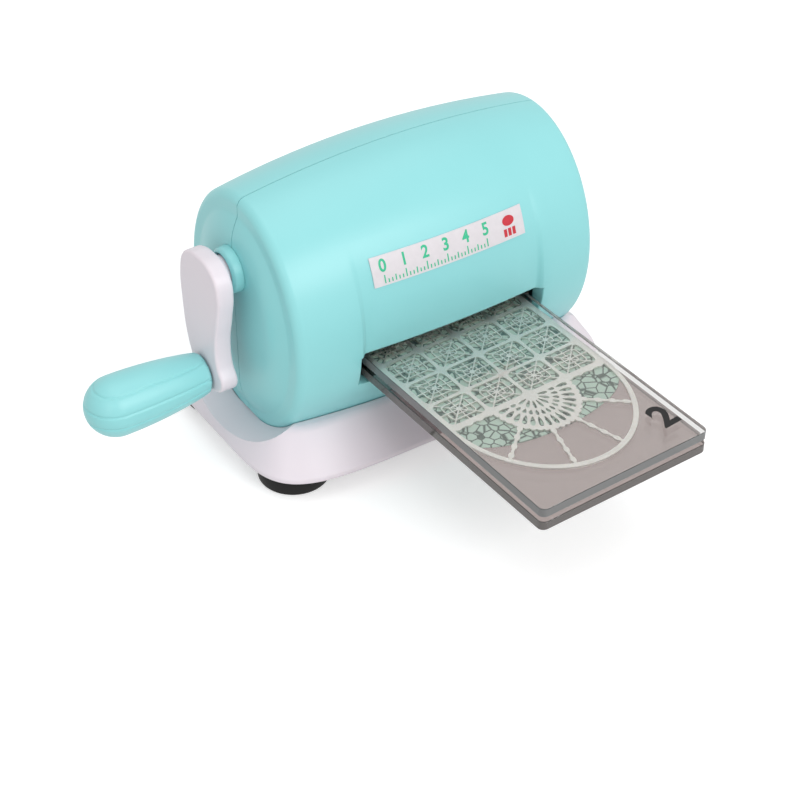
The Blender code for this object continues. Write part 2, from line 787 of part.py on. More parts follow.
def roller_profile():
    tip = gear_end + journal_overhang
    edge = roller_half_length - roller_edge
    return [(tip, 0), (tip, journal_radius), (roller_half_length, journal_radius),
            (roller_half_length, roller_radius - roller_edge), (edge, roller_radius),
            (-edge, roller_radius), (-roller_half_length, roller_radius - roller_edge),
            (-roller_half_length, journal_radius), (-tip, journal_radius), (-tip, 0)]


def involute(radius, base_radius):
    if radius <= base_radius:
        return 0
    rise = math.sqrt((radius / base_radius) ** 2 - 1)
    return rise - math.atan(rise)


def gear_outline(teeth, module, turn):
    """Involute teeth, one of them centred on the direction turn."""
    pitch = teeth * module / 2
    base_radius = pitch * math.cos(pressure_angle)
    root = pitch - dedendum_share * module
    tip = pitch + addendum_share * module
    half_pitch = math.pi / (2 * teeth) * tooth_thickness_share
    levels = [root, max(base_radius, root), pitch, tip]
    points = []
    for i in range(teeth):
        middle = turn + 2 * math.pi * i / teeth
        halves = [half_pitch + involute(pitch, base_radius) - involute(level, base_radius)
                  for level in levels]
        flank = list(zip(levels, halves))
        points += [(r * math.cos(middle - h), r * math.sin(middle - h)) for r, h in flank]
        points += [(r * math.cos(middle + h), r * math.sin(middle + h)) for r, h in reversed(flank)]
    return points


def make_gear(name, teeth, module, turn, middle_x, finish, parent):
    bore = circle(journal_radius + fit_gap, bushing_sides)
    data = stand_up(flat_piece([gear_outline(teeth, module, turn), bore], gear_width))
    return piece(name, data, finish, parent, (middle_x, 0, 0))


def make_rollers(parent, chrome, gear_finish):
    """Both rollers and the gears that turn them, each on its own axis."""
    up = math.pi / 2
    gear_x = (gear_start + gear_end) / 2
    drive_module = 2 * (crank_axis_height - upper_roller_height) / (pinion_teeth + drive_teeth)
    lower = empty("lower_roller_axis", (0, 0, lower_roller_height), parent)
    upper = empty("upper_roller_axis", (0, 0, upper_roller_height), parent)
    piece("lower_roller", turned(roller_profile()), chrome, lower)
    piece("upper_roller", turned(roller_profile()), chrome, upper)
    make_gear("lower_roller_gear", roller_gear_teeth, roller_module, up, gear_x, gear_finish, lower)
    make_gear("upper_roller_gear", roller_gear_teeth, roller_module,
              -up + math.pi / roller_gear_teeth, gear_x, gear_finish, upper)
    make_gear("drive_gear", drive_teeth, drive_module, up, -gear_x, gear_finish, upper)
    return drive_module, -gear_x


def arm_outline():
    """The arm seen along X, as (Y, Z) from the crank axis."""
    front, rear = arm_front_width, arm_rear_width
    knots = [(y * front, z * arm_head_height) for y, z in arm_head_shares]
    knots += [(y * front, -z * crank_throw) for y, z in arm_front_shares]
    knots += [(y * (front if y < 0 else rear), -crank_throw - z * arm_toe_drop)
              for y, z in arm_toe_shares]
    knots += [(y * rear, -z * crank_throw) for y, z in arm_rear_shares]
    knots += [(y * rear, z * arm_head_height) for y, z in arm_crown_shares]
    return smooth_outline(knots, arm_steps)


def make_crank(parent, module, pinion_x, white, teal, steel, gear_finish):
    axis = empty("crank_axis", (0, 0, crank_axis_height), parent)
    socket = shaft_radius + fit_gap
    socket_end = -arm_inner - arm_socket_depth
    left = socket_end + fit_gap
    right = frame_outer
    profile = [(right, 0), (right, shaft_radius), (left, shaft_radius), (left, 0)]
    shaft = piece("crank_shaft", turned(profile), steel, axis)
    spigot_end = -collar_face + collar_cup_depth - 3 * fit_gap
    flat_end = spigot_end + 2 * fit_gap
    flat_low = shaft_radius - shaft_flat_depth
    flat = box((left - overrun, -shaft_radius - overrun, flat_low),
               (flat_end, shaft_radius + overrun, shaft_radius + overrun))
    combine(shaft, cutter("shaft_flat", flat, axis), "DIFFERENCE")
    make_gear("crank_pinion", pinion_teeth, module, -math.pi / 2 + math.pi / pinion_teeth, pinion_x,
              gear_finish, axis)
    data = stand_up(flat_piece([arm_outline()], arm_thickness, arm_edge))
    data.transform(Matrix.Translation((-(arm_inner + arm_outer) / 2, 0, 0)))
    arm = piece("crank_arm", round_shading(data), white, axis)
    spigot = turned([(spigot_end, 0), (spigot_end, arm_spigot_radius),
                     (-arm_inner - arm_edge, arm_spigot_radius), (-arm_inner - arm_edge, 0)])
    combine(arm, cutter("arm_spigot", spigot, axis), "UNION")
    bore = cutter("arm_socket", turned([(spigot_end + overrun, 0), (spigot_end + overrun, socket),
                                        (socket_end, socket), (socket_end, 0)]), axis)
    key = box((socket_end - overrun, -socket - overrun, flat_low + fit_gap),
              (spigot_end + 2 * overrun, socket + overrun, socket + overrun))
    combine(bore, cutter("socket_flat", key, axis), "DIFFERENCE")
    combine(arm, bore, "DIFFERENCE")
    pin_hole = pin_radius + fit_gap
    drill(arm, "pin_hole", pin_hole, -arm_outer - overrun, -arm_inner + overrun, axis,
          (0, 0, -crank_throw), "X")
    drill(arm, "pin_head_hole", pin_head_radius + fit_gap, -arm_inner - pin_head_height - fit_gap,
          -arm_inner + overrun, axis, (0, 0, -crank_throw), "X")
    head_face = -arm_inner - fit_gap / 2
    head_seat = head_face - pin_head_height
    pin_end = -grip_start - pin_reach
    profile = [(head_face, 0), (head_face, pin_head_radius), (head_seat, pin_head_radius),
               (head_seat, pin_radius), (pin_end, pin_radius), (pin_end, 0)]
    piece("handle_pin", turned(profile, screw_sides), steel, axis, (0, 0, -crank_throw))
    handle = empty("handle_axis", (0, 0, -crank_throw), axis)
    piece("handle_grip", turned(grip_profile()), teal, handle)


def grip_radius(share):
    """Radius of the grip at a share of its length from the arm."""
    belly = grip_belly_place_share
    if share <= belly:
        rise = math.sin(math.pi / 2 * share / belly)
        return grip_neck_radius + (grip_belly_radius - grip_neck_radius) * rise ** grip_swell_share
    fall = (share - belly) / (1 - belly)
    return grip_belly_radius * math.sqrt(max(1 - fall ** 2, 0))


def grip_profile():
    bore = pin_radius + fit_gap
    bore_end = -grip_start - pin_reach - fit_gap
    points = [(-grip_start, bore), (-grip_start, grip_neck_radius - grip_neck_round),
              (-grip_start - grip_neck_round, grip_neck_radius)]
    for i in range(1, grip_steps + 1):
        share = i / grip_steps * grip_belly_place_share
        points.append((-grip_start - grip_length * share, grip_radius(share)))
    for i in range(1, grip_steps + 1):
        fall = math.sin(math.pi / 2 * i / grip_steps)
        share = grip_belly_place_share + (1 - grip_belly_place_share) * fall
        points.append((-grip_start - grip_length * share, grip_radius(share)))
    points[-1] = (-grip_end, 0)
    return [(bore_end, 0), (bore_end, bore)] + points


def make_collar(parent, finish):
    """The fixed collar round the crank shaft, with a cup for the arm's spigot."""
    bore = shaft_radius + fit_gap
    root = -body_end_face - fit_gap
    face = -collar_face
    inside = -body_end_face + casing_wall + fit_gap
    cup = face + collar_cup_depth
    profile = [(inside, bore), (inside, collar_neck_radius), (root, collar_neck_radius),
               (root, collar_root_radius), (face + collar_edge, collar_radius),
               (face, collar_radius - collar_edge), (face, collar_cup_radius),
               (cup, collar_cup_radius), (cup, bore)]
    piece("crank_collar", turned(profile), finish, parent, (0, 0, crank_axis_height))


def label_point(x, z):
    """A point just off the front panel's face at a height."""
    half_depth, half_height = barrel_section(x, fit_gap)
    reach = half_depth * math.sqrt(1 - ((z - body_axis_height) / half_height) ** 2)
    return (x, panel_recess(x, z) - reach, z)


def make_label(parent, finish):
    data = bpy.data.meshes.new("label")
    work = bmesh.new()
    grid = []
    for j in range(label_rows + 1):
        z = label_bottom + (label_top - label_bottom) * j / label_rows
        line = []
        for i in range(label_columns + 1):
            x = label_half_length * (2 * i / label_columns - 1)
            line.append(work.verts.new(label_point(x, z)))
        grid.append(line)
    for low, high in zip(grid, grid[1:]):
        for i in range(label_columns):
            work.faces.new((low[i], low[i + 1], high[i + 1], high[i]))
    work.to_mesh(data)
    work.free()
    item = piece("label", data, finish, parent)
    skin = item.modifiers.new("thickness", "SOLIDIFY")
    skin.thickness = label_thickness
    skin.offset = 1


def make_plates(parent, acrylic, steel, paper_finish):
    """The stack of plates as it lies in the slot, a little askew."""
    crossing = (-plate_drift, 0, 0)
    axis = empty("plate_feed_line", crossing, parent)
    axis.rotation_euler = (0, 0, plate_skew)
    middle_y = plate_length / 2 - plate_reach / math.cos(plate_skew)
    sheet = [rounded_rectangle(plate_half_width, plate_length / 2, plate_corner)]
    front_edge = middle_y - plate_length / 2
    level = stack_bottom
    lower = flat_piece(sheet, lower_plate_thickness)
    piece("lower_plate", lower, acrylic, axis, (0, middle_y, level + lower_plate_thickness / 2))
    level += lower_plate_thickness + fit_gap
    card = flat_piece([arched_outline(paper_half_width, paper_arch_drop, paper_length)],
                      paper_thickness)
    piece("paper_card", card, paper_finish, axis,
          (0, front_edge + paper_front_margin + paper_arch_drop, level + paper_thickness / 2))
    level += paper_thickness + fit_gap
    outlines = [arched_outline(die_half_width, die_arch_drop, die_length)]
    outlines += fan_outlines() + tile_outlines()
    piece("cutting_die", flat_piece(outlines, die_thickness), steel, axis,
          (0, front_edge + die_front_margin + die_arch_drop, level + die_thickness / 2))
    level += die_thickness + fit_gap
    upper = flat_piece(sheet, upper_plate_thickness)
    piece("upper_plate", upper, acrylic, axis, (0, middle_y, level + upper_plate_thickness / 2))


def arched_outline(half_width, arch_depth, length):
    """A sheet with an arched front end; its arch springs from the line y = 0."""
    points = []
    for i in range(turned_sides + 1):
        angle = math.pi + math.pi * i / turned_sides
        points.append((half_width * math.cos(angle), arch_depth * math.sin(angle)))
    rear = length - arch_depth
    points += [(half_width, rear), (-half_width, rear)]
    return points


def fan_outlines():
    """Windows of the fan between the die's hub and its arched rim."""
    inner = die_hub_radius
    outer = die_half_width - die_ring_width
    stretch = die_arch_drop / die_half_width
    windows = []
    for i in range(fan_windows):
        middle = math.pi * (1 + (i + 0.5) / fan_windows)
        half_pitch = math.pi / fan_windows / 2
        inner_half = half_pitch - die_bar_width / 2 / inner
        outer_half = half_pitch - die_bar_width / 2 / outer
        corners = [(outer, middle + outer_half * share) for share in fan_outer_shares]
        corners += [(inner, middle + inner_half), (inner, middle - inner_half)]
        windows.append([(radius * math.cos(angle), stretch * radius * math.sin(angle))
                        for radius, angle in corners])
    return windows


def tile_outlines():
    """Rows of round cornered windows behind the fan."""
    rear = die_length - die_arch_drop - die_ring_width
    pitch_x = 2 * (die_half_width - die_ring_width) / tile_columns
    pitch_y = (rear - die_bar_width) / tile_rows
    width = pitch_x - die_bar_width
    depth = pitch_y - die_bar_width
    windows = []
    for row in range(tile_rows):
        for column in range(tile_columns):
            x = pitch_x * (column - (tile_columns - 1) / 2)
            y = die_bar_width + pitch_y * (row + 1 / 2)
            windows.append([(x + width * across, y + depth * along)
                            for across, along in tile_outline_shares])
    return windows


def build():
    clear_scene()
    root = empty("machine_origin", (-footprint_x, -footprint_y, 0))
    teal = colour(0.36, 0.76, 0.75, 0.35, 0, "teal_plastic")
    white = colour(0.84, 0.82, 0.86, 0.4, 0, "white_plastic")
    rubber = colour(0.02, 0.02, 0.02, 0.7, 0, "black_rubber")
    steel = colour(0.55, 0.55, 0.57, 0.35, 1, "plain_steel")
    chrome = colour(0.70, 0.70, 0.72, 0.2, 1, "polished_steel")
    zinc = colour(0.50, 0.52, 0.55, 0.45, 1, "zinc_plated_steel")
    bronze = colour(0.42, 0.27, 0.12, 0.4, 1, "sintered_bronze")
    nylon = colour(0.78, 0.76, 0.70, 0.5, 0, "gear_nylon")
    sticker = colour(0.88, 0.90, 0.88, 0.5, 0, "label_film")
    acrylic = colour(0.55, 0.55, 0.54, 0.05, 0, "smoked_acrylic")
    card = colour(0.75, 0.80, 0.74, 0.8, 0, "craft_card")
    make_casing(root, teal, steel)
    base_middle = make_base(root, white, steel)
    make_feet(base_middle, rubber, steel)
    make_frames(root, zinc, bronze, steel)
    module, pinion_x = make_rollers(root, chrome, nylon)
    make_crank(root, module, pinion_x, white, teal, steel, nylon)
    make_collar(root, teal)
    make_label(root, sticker)
    make_plates(root, acrylic, steel, card)


build()
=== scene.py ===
import math

import bmesh
import bpy
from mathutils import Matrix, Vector


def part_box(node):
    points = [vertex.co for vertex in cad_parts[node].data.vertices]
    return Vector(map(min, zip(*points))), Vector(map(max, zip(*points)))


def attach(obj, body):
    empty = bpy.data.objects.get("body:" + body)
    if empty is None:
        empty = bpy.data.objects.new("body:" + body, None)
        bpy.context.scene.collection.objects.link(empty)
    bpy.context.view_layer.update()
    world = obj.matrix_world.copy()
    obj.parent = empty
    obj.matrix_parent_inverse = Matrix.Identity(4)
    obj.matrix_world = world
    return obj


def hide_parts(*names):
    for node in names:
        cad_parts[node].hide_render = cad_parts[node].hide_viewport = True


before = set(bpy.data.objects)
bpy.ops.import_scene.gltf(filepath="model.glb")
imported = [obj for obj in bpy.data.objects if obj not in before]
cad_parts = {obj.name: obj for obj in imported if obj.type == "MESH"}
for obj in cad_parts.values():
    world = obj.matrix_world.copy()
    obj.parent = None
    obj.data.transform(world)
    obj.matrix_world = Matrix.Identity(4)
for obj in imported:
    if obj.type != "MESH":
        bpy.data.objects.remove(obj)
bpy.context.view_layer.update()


# CASING
# A barrel of aqua ABS with crowned ends, moulded in a front and a rear half that meet
# in a fine seam. A shallow panel round each plate slot is stepped back from the barrel
# and runs out above the slot.
barrel_x, barrel_y, barrel_z = 0.0279, 0.04706, 0.058996
barrel_half_length = 0.0669
barrel_half_depth = 0.0451
barrel_half_height = 0.055196
barrel_taper = 0.102
barrel_end_round, barrel_end_steps = 0.0032, 10
rim_flat, rim_step, crease_share = 0.0030, 0.00001, 0.12
crown_rise, crown_width, crown_steps = 0.0033, 0.0125, 20
barrel_sides = 160
casing_wall = 0.0025
casing_foot = 0.0133
seam_width = 0.0003
panel_half_width = 0.0385
panel_step = 0.0030
panel_depth = 0.0024
panel_top = 0.0970
slot_half_width = 0.0415
slot_bottom, slot_top = 0.040492, 0.053592
slot_inner_end = 0.0361
slot_ledge, slot_lip_round = 0.0003, 0.0006
skin_from, slot_step = 0.03, 0.001
station_pitch, outer_stations = 0.0075, (0.0460, 0.0520, 0.0580)
hair = 1e-5  # places closer than this count as the same


def start_shape(add, **settings):
    """Adds one of Blender's starting shapes, with nothing else selected."""
    bpy.ops.object.select_all(action="DESELECT")
    add(**settings)
    return bpy.context.object


def pick(item):
    """Selects one piece and nothing else."""
    bpy.ops.object.select_all(action="DESELECT")
    bpy.context.view_layer.objects.active = item
    item.select_set(True)


def edit(item):
    """Opens one piece, and nothing else, for editing."""
    pick(item)
    bpy.ops.object.mode_set(mode="EDIT")


def close_edit():
    """Closes the piece that is open for editing."""
    bpy.ops.object.mode_set(mode="OBJECT")


def slice_open(point, normal, **options):
    """Cuts the faces of the open piece along a plane."""
    bpy.ops.mesh.select_all(action="SELECT")
    bpy.ops.mesh.bisect(plane_co=point, plane_no=normal, **options)


def choose(item, kind, test):
    """Selects the corners, edges or faces whose corners all pass the test."""
    bpy.ops.mesh.select_mode(type=kind)
    bpy.ops.mesh.select_all(action="DESELECT")
    work = bmesh.from_edit_mesh(item.data)
    if kind == "VERT":
        for corner in work.verts:
            corner.select_set(test(corner.co))
    else:
        for element in (work.edges if kind == "EDGE" else work.faces):
            if all(test(corner.co) for corner in element.verts):
                element.select_set(True)
    work.select_flush_mode()
    bmesh.update_edit_mesh(item.data)


def apply_all(item):
    """Closes the edit, then applies the piece's modifiers and its place."""
    if bpy.context.mode != "OBJECT":
        close_edit()
    pick(item)
    for modifier in list(item.modifiers):
        bpy.ops.object.modifier_apply(modifier=modifier.name)
    bpy.ops.object.transform_apply(location=True, rotation=True, scale=True)
    return item


def copy_to(item, shift=(0, 0, 0)):
    """Another of the same piece, with its own mesh, moved by shift."""
    twin = item.copy()
    twin.data = item.data.copy()
    bpy.context.scene.collection.objects.link(twin)
    twin.location = shift
    return apply_all(twin)


def cut(item, tool, operation="DIFFERENCE"):
    """Cuts a tool body out of a piece, or joins it on, and removes the tool."""
    change = item.modifiers.new("cut", "BOOLEAN")
    change.operation = operation
    change.object = tool
    change.solver = "EXACT"
    apply_all(item)
    bpy.data.objects.remove(tool, do_unlink=True)


def swell_at(place):
    """The share of its full depth and height that the barrel has at a place along it."""
    return 1 - barrel_taper * (place / barrel_half_length) ** 2


def barrel(name, grow):
    """The barrel's plain outer form, larger all round by grow."""
    round_radius = barrel_end_round + grow
    straight = barrel_half_length + grow - round_radius
    form = start_shape(bpy.ops.mesh.primitive_cylinder_add, vertices=barrel_sides, radius=1,
                       depth=2 * straight, location=(barrel_x, barrel_y, barrel_z),
                       rotation=(0, math.pi / 2, 0))
    form.name = name
    form.scale = (barrel_half_height + grow, barrel_half_depth + grow, 1)
    apply_all(form)
    stations = [station_pitch * i for i in range(5)]
    stations += [panel_half_width + panel_step * i / 4 for i in range(5)]
    stations += outer_stations
    stations = [-station for station in stations[:0:-1]] + stations
    edit(form)
    for station in stations:
        slice_open((barrel_x + station, 0, 0), (1, 0, 0))
    for station in [-straight] + stations + [straight]:
        choose(form, "VERT", lambda co: abs(co.x - barrel_x - station) < hair)
        bpy.ops.transform.resize(value=(1, swell_at(station), swell_at(station)),
                                 center_override=(barrel_x + station, barrel_y, barrel_z))
    rings = []
    for i in range(1, barrel_end_steps + 1):
        angle = math.pi / 2 * i / barrel_end_steps
        rings.append((straight + round_radius * math.sin(angle),
                      round_radius * (1 - math.cos(angle))))
    rim, rim_inset = rings[-1]
    rings.append((rim + rim_step, rim_inset + rim_flat))
    shares = [(i + 0.5) / crown_steps for i in range(crown_steps)]
    slopes = [(1 - share) * min(share / crease_share, 1) for share in shares]
    for i in range(1, crown_steps + 1):
        rings.append((rim + rim_step + crown_rise * sum(slopes[:i]) / sum(slopes),
                      rim_inset + rim_flat + crown_width * i / crown_steps))
    full_sizes = (barrel_half_depth + grow, barrel_half_height + grow)
    for end in (-1, 1):
        place = straight
        depth, height = (size * swell_at(place) for size in full_sizes)
        for next_place, inset in rings:
            next_depth, next_height = (size * swell_at(next_place) - inset for size in full_sizes)
            choose(form, "FACE", lambda co: (co.x - barrel_x) * end > place - hair)
            bpy.ops.mesh.extrude_region_move(
                TRANSFORM_OT_translate={"value": (end * (next_place - place), 0, 0)})
            bpy.ops.transform.resize(value=(1, next_depth / depth, next_height / height),
                                     center_override=(barrel_x, barrel_y, barrel_z))
            place, depth, height = next_place, next_depth, next_height
    close_edit()
    return form


def ease(share):
    """A share from 0 to 1 that starts and ends gently."""
    share = min(max(share, 0), 1)
    return share * share * (3 - 2 * share)


def linear(hex_colour):
    """An sRGB hex colour as the linear values that a shader takes."""
    parts = [int(hex_colour[i:i + 2], 16) / 255 for i in (1, 3, 5)]
    return [v / 12.92 if v <= 0.04045 else ((v + 0.055) / 1.055) ** 2.4 for v in parts] + [1]


def feed(material, node, links):
    """Links the outputs that feed a node to its sockets."""
    for socket, source in links.items():
        material.node_tree.links.new(source, node.inputs[socket])


def add_node(material, kind, settings, values, links):
    """Adds one node with its settings, its sockets' values and what feeds them."""
    made = material.node_tree.nodes.new(kind)
    for name, value in settings.items():
        setattr(made, name, value)
    for socket, value in values.items():
        made.inputs[socket].default_value = value
    feed(material, made, links)
    return made


def start_material(name, roughness, metallic=0.0):
    """A material with its main shader, and the object coordinates that patterns read."""
    material = bpy.data.materials.new(name)
    material.use_nodes = True
    shader = material.node_tree.nodes["Principled BSDF"]
    shader.inputs["Roughness"].default_value = roughness
    shader.inputs["Metallic"].default_value = metallic
    place = add_node(material, "ShaderNodeTexCoord", {}, {}, {}).outputs["Object"]
    return material, shader, place


def moulded_plastic(name, low_hex, high_hex, roughness, grain_mm):
    """Injection moulded ABS: an even colour and a satin gloss from a spark-eroded mould.

    The mould's real grain, about 0.1 mm, is drawn coarser so that it shows.
    """
    material, shader, place = start_material(name, roughness)
    shader.inputs["IOR"].default_value = 1.53
    cloud = add_node(material, "ShaderNodeTexNoise", {}, {"Scale": 22.0, "Detail": 3.0},
                     {"Vector": place})
    tint = add_node(material, "ShaderNodeMix", {"data_type": "RGBA"},
                    {"A": linear(low_hex), "B": linear(high_hex)},
                    {"Factor": cloud.outputs["Fac"]})
    grain = add_node(material, "ShaderNodeTexNoise", {},
                     {"Scale": 1000.0 / grain_mm, "Detail": 2.0}, {"Vector": place})
    sheen = add_node(material, "ShaderNodeMapRange", {},
                     {"To Min": roughness - 0.05, "To Max": roughness + 0.07},
                     {"Value": grain.outputs["Fac"]})
    bump = add_node(material, "ShaderNodeBump", {}, {"Strength": 0.12, "Distance": 0.00004},
                    {"Height": grain.outputs["Fac"]})
    feed(material, shader, {"Base Color": tint.outputs["Result"],
                            "Roughness": sheen.outputs["Result"],
                            "Normal": bump.outputs["Normal"]})
    return material


def dress(item, name, material, smooth_degrees=32):
    """Names a finished piece, shades it and gives it its one material."""
    apply_all(item)
    item.name = name
    item.data.name = name
    bpy.ops.object.shade_smooth_by_angle(angle=math.radians(smooth_degrees))
    item.data.materials.clear()
    item.data.materials.append(material)
    return item


# Aqua ABS, moulded: soft wide highlights and no clear coat.
aqua_abs = moulded_plastic("aqua_abs", "#8CD3D5", "#93D9DB", 0.33, 0.45)

skin = barrel("skin", 0)
edit(skin)
for height in (slot_bottom - slot_ledge, slot_bottom, slot_top, panel_top):
    slice_open((0, 0, height), (0, 0, 1))
close_edit()
for group_name, side in (("front_panel", -1), ("rear_panel", 1)):
    group = skin.vertex_groups.new(name=group_name)
    for corner in skin.data.vertices:
        across = abs(corner.co.x - barrel_x)
        fade = min((panel_top - corner.co.z) / (panel_top - slot_top), 1)
        share = 1 - ease((across - panel_half_width) / panel_step)
        inside = corner.co.z > slot_bottom - hair and (corner.co.y - barrel_y) * side > 0
        if inside and fade > 0 and share > 0:
            group.add([corner.index], share * fade, "REPLACE")
    step_back = skin.modifiers.new(group_name, "DISPLACE")
    step_back.vertex_group = group_name
    step_back.direction = "Y"
    step_back.mid_level = 0
    step_back.strength = -side * panel_depth
apply_all(skin)
edit(skin)
for side in (-1, 1):
    choose(skin, "FACE", lambda co: abs(co.x - barrel_x) < slot_half_width + hair
           and slot_bottom - hair < co.z < slot_top + hair
           and (co.y - barrel_y) * side > skin_from)
    bpy.ops.mesh.extrude_region_move(TRANSFORM_OT_translate={"value": (0, -side * slot_step, 0)})
    bpy.ops.transform.resize(value=(1, 0, 1),
                             center_override=(barrel_x, barrel_y + side * slot_inner_end, barrel_z))
    bpy.ops.mesh.delete(type="FACE")
    choose(skin, "EDGE", lambda co: abs(co.y - barrel_y) > slot_inner_end + slot_step
           and slot_bottom - hair < co.z < slot_top + hair
           and abs(co.x - barrel_x) < slot_half_width + hair
           and (co.z > slot_top - hair or abs(co.x - barrel_x) > slot_half_width - hair)
           and (co.y - barrel_y) * side > 0)
    bpy.ops.mesh.bevel(offset=slot_lip_round, segments=3, affect="EDGES")
slice_open((0, 0, casing_foot), (0, 0, 1), clear_inner=True)
close_edit()

halves = {}
for half_name, side in (("front", -1), ("rear", 1)):
    half = copy_to(skin)
    edit(half)
    slice_open((0, barrel_y + side * seam_width / 2, 0), (0, side, 0), clear_inner=True)
    wall = half.modifiers.new("wall", "SOLIDIFY")
    wall.thickness = casing_wall
    wall.offset = -1
    apply_all(half)
    halves[half_name] = half
bpy.data.objects.remove(skin, do_unlink=True)

# The rear half has four deep wells, down which the casing screws go into the front half.
well_radius, well_wall = 0.0031, 0.0018
well_start, well_seat = 0.0003, 0.0080
well_boss_end, well_open_end = 0.0200, 0.0600
well_across, well_heights = 0.0615, (0.0270, 0.096692)
well_places = [(end * well_across, height) for end in (-1, 1) for height in well_heights]
for across, height in well_places:
    for radius, low, reach, operation in (
            (well_radius + well_wall, well_start, well_boss_end, "UNION"),
            (well_radius, well_seat, well_open_end, "DIFFERENCE")):
        tool = start_shape(
            bpy.ops.mesh.primitive_cylinder_add, vertices=48, radius=radius, depth=reach - low,
            rotation=(math.pi / 2, 0, 0),
            location=(barrel_x + across, barrel_y + (low + reach) / 2, height))
        cut(halves["rear"], apply_all(tool), operation)

for half_name, half in halves.items():
    shell = dress(half, f"{half_name}_shell", aqua_abs)
    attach(shell, "machine")
    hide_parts(f"{half_name}_casing")


# BASE
# A plinth of cool white ABS with sloped sides, moulded in one piece. The barrel beds
# into its top, dished saddles run out at both ends, and its underside is a shallow pan.
base_x = 0.0261
base_foot, base_lip, base_top = 0.0080, 0.0096, 0.0246
base_half_length, base_half_depth, base_power = 0.0802, 0.0508, 5.0
base_top_half_length, base_top_half_depth, base_top_power = 0.0707, 0.036572, 6.3
deck_top, deck_underside = 0.0130, 0.0105
fit_gap = 0.0003
saddle_near, saddle_far = 0.0636, 0.0842
saddle_spread, saddle_far_spread = 0.0447, 0.0591
saddle_rise, saddle_far_rise = 0.0460, 0.04706
pan_side_wall, pan_front_wall, pan_overrun = 0.012, 0.004, 0.002
blank_radius = 0.05
foot_across, foot_along, foot_radius = 0.0625, 0.0290, 0.0141
foot_places = [(base_x + end * foot_across, barrel_y + side * foot_along)
               for end in (-1, 1) for side in (-1, 1)]


def square_off(item, height, half_x, half_y, power):
    """Draws the ring of corners at one height out into a squarish oval."""
    for corner in item.data.vertices:
        if abs(corner.co.z - height) < hair:
            angle = math.atan2(corner.co.y - barrel_y, corner.co.x - base_x)
            c, s = math.cos(angle), math.sin(angle)
            corner.co.x = base_x + half_x * math.copysign(abs(c) ** (2 / power), c)
            corner.co.y = barrel_y + half_y * math.copysign(abs(s) ** (2 / power), s)


def round_blank(radius, low, high, x, y, sides=96):
    """An upright round bar to start from."""
    return apply_all(start_shape(
        bpy.ops.mesh.primitive_cylinder_add, vertices=sides, radius=radius, depth=high - low,
        location=(x, y, (low + high) / 2)))


# White ABS with a cool cast, moulded: satin, and a little duller than the aqua.
cool_white_abs = moulded_plastic("cool_white_abs", "#E2D9E0", "#E8DFE6", 0.36, 0.45)

plinth = round_blank(blank_radius, base_foot, base_top, base_x, barrel_y, 180)
edit(plinth)
slice_open((0, 0, base_lip), (0, 0, 1))
close_edit()
for height in (base_foot, base_lip):
    square_off(plinth, height, base_half_length, base_half_depth, base_power)
square_off(plinth, base_top, base_top_half_length, base_top_half_depth, base_top_power)
edit(plinth)
for height, radius, steps in ((base_foot, 0.0005, 3), (base_lip, 0.0009, 4),
                              (base_top, 0.0022, 6)):
    choose(plinth, "EDGE", lambda co: abs(co.z - height) < hair)
    bpy.ops.mesh.bevel(offset=radius, segments=steps, affect="EDGES")
close_edit()

bed = barrel("bed", fit_gap)
edit(bed)
slice_open((0, 0, deck_top), (0, 0, 1), use_fill=True, clear_inner=True)
cut(plinth, apply_all(bed))
for end in (-1, 1):
    saddle = start_shape(
        bpy.ops.mesh.primitive_cylinder_add, vertices=160, radius=1,
        depth=saddle_far - saddle_near, rotation=(0, math.pi / 2, 0),
        location=(barrel_x + end * (saddle_near + saddle_far) / 2, barrel_y, barrel_z))
    saddle.scale = (saddle_rise, saddle_spread, 1)
    edit(apply_all(saddle))
    choose(saddle, "VERT", lambda co: (co.x - barrel_x) * end > saddle_far - hair)
    bpy.ops.transform.resize(
        value=(1, saddle_far_spread / saddle_spread, saddle_far_rise / saddle_rise),
        center_override=(barrel_x, barrel_y, barrel_z))
    cut(plinth, apply_all(saddle))
pan = round_blank(blank_radius, base_foot - pan_overrun, deck_underside, base_x, barrel_y, 120)
for height in (base_foot - pan_overrun, deck_underside):
    square_off(pan, height, base_half_length - pan_side_wall, base_half_depth - pan_front_wall,
               base_power)
for x, y in foot_places:
    cut(pan, round_blank(foot_radius + fit_gap, 0.0, base_top, x, y))
cut(plinth, pan)
plinth = dress(plinth, "plinth", cool_white_abs)
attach(plinth, "machine")
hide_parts("base")


# FEET
# Four round feet of black nitrile rubber, moulded with a cup for the screw head. Each
# seats in the base's pan and is held by its one screw.
def weld_open():
    """Merges the open piece's corners that meet, turns its faces outward and closes it."""
    bpy.ops.mesh.select_all(action="SELECT")
    bpy.ops.mesh.remove_doubles(threshold=0.000002)
    bpy.ops.mesh.normals_make_consistent(inside=False)
    close_edit()


def turn_on_lathe(profile, centre, along="X", sides=72):
    """Turns an outline of (place along the axis, radius) pairs about a line through centre."""
    axis = Vector((along == "X", along == "Y", along == "Z"))
    out = Vector((along == "Z", 0, along != "Z"))
    centre = Vector(centre)
    item = apply_all(start_shape(bpy.ops.mesh.primitive_plane_add, size=0.001,
                                 location=centre + axis * profile[0][0] + out * profile[0][1]))
    edit(item)
    bpy.ops.mesh.select_all(action="SELECT")
    bpy.ops.mesh.merge(type="CENTER")
    for (place, radius), (next_place, next_radius) in zip(profile, profile[1:]):
        step = axis * (next_place - place) + out * (next_radius - radius)
        bpy.ops.mesh.extrude_region_move(TRANSFORM_OT_translate={"value": step})
    bpy.ops.mesh.select_all(action="SELECT")
    bpy.ops.mesh.spin(steps=sides, angle=2 * math.pi, center=centre, axis=axis)
    weld_open()
    return item


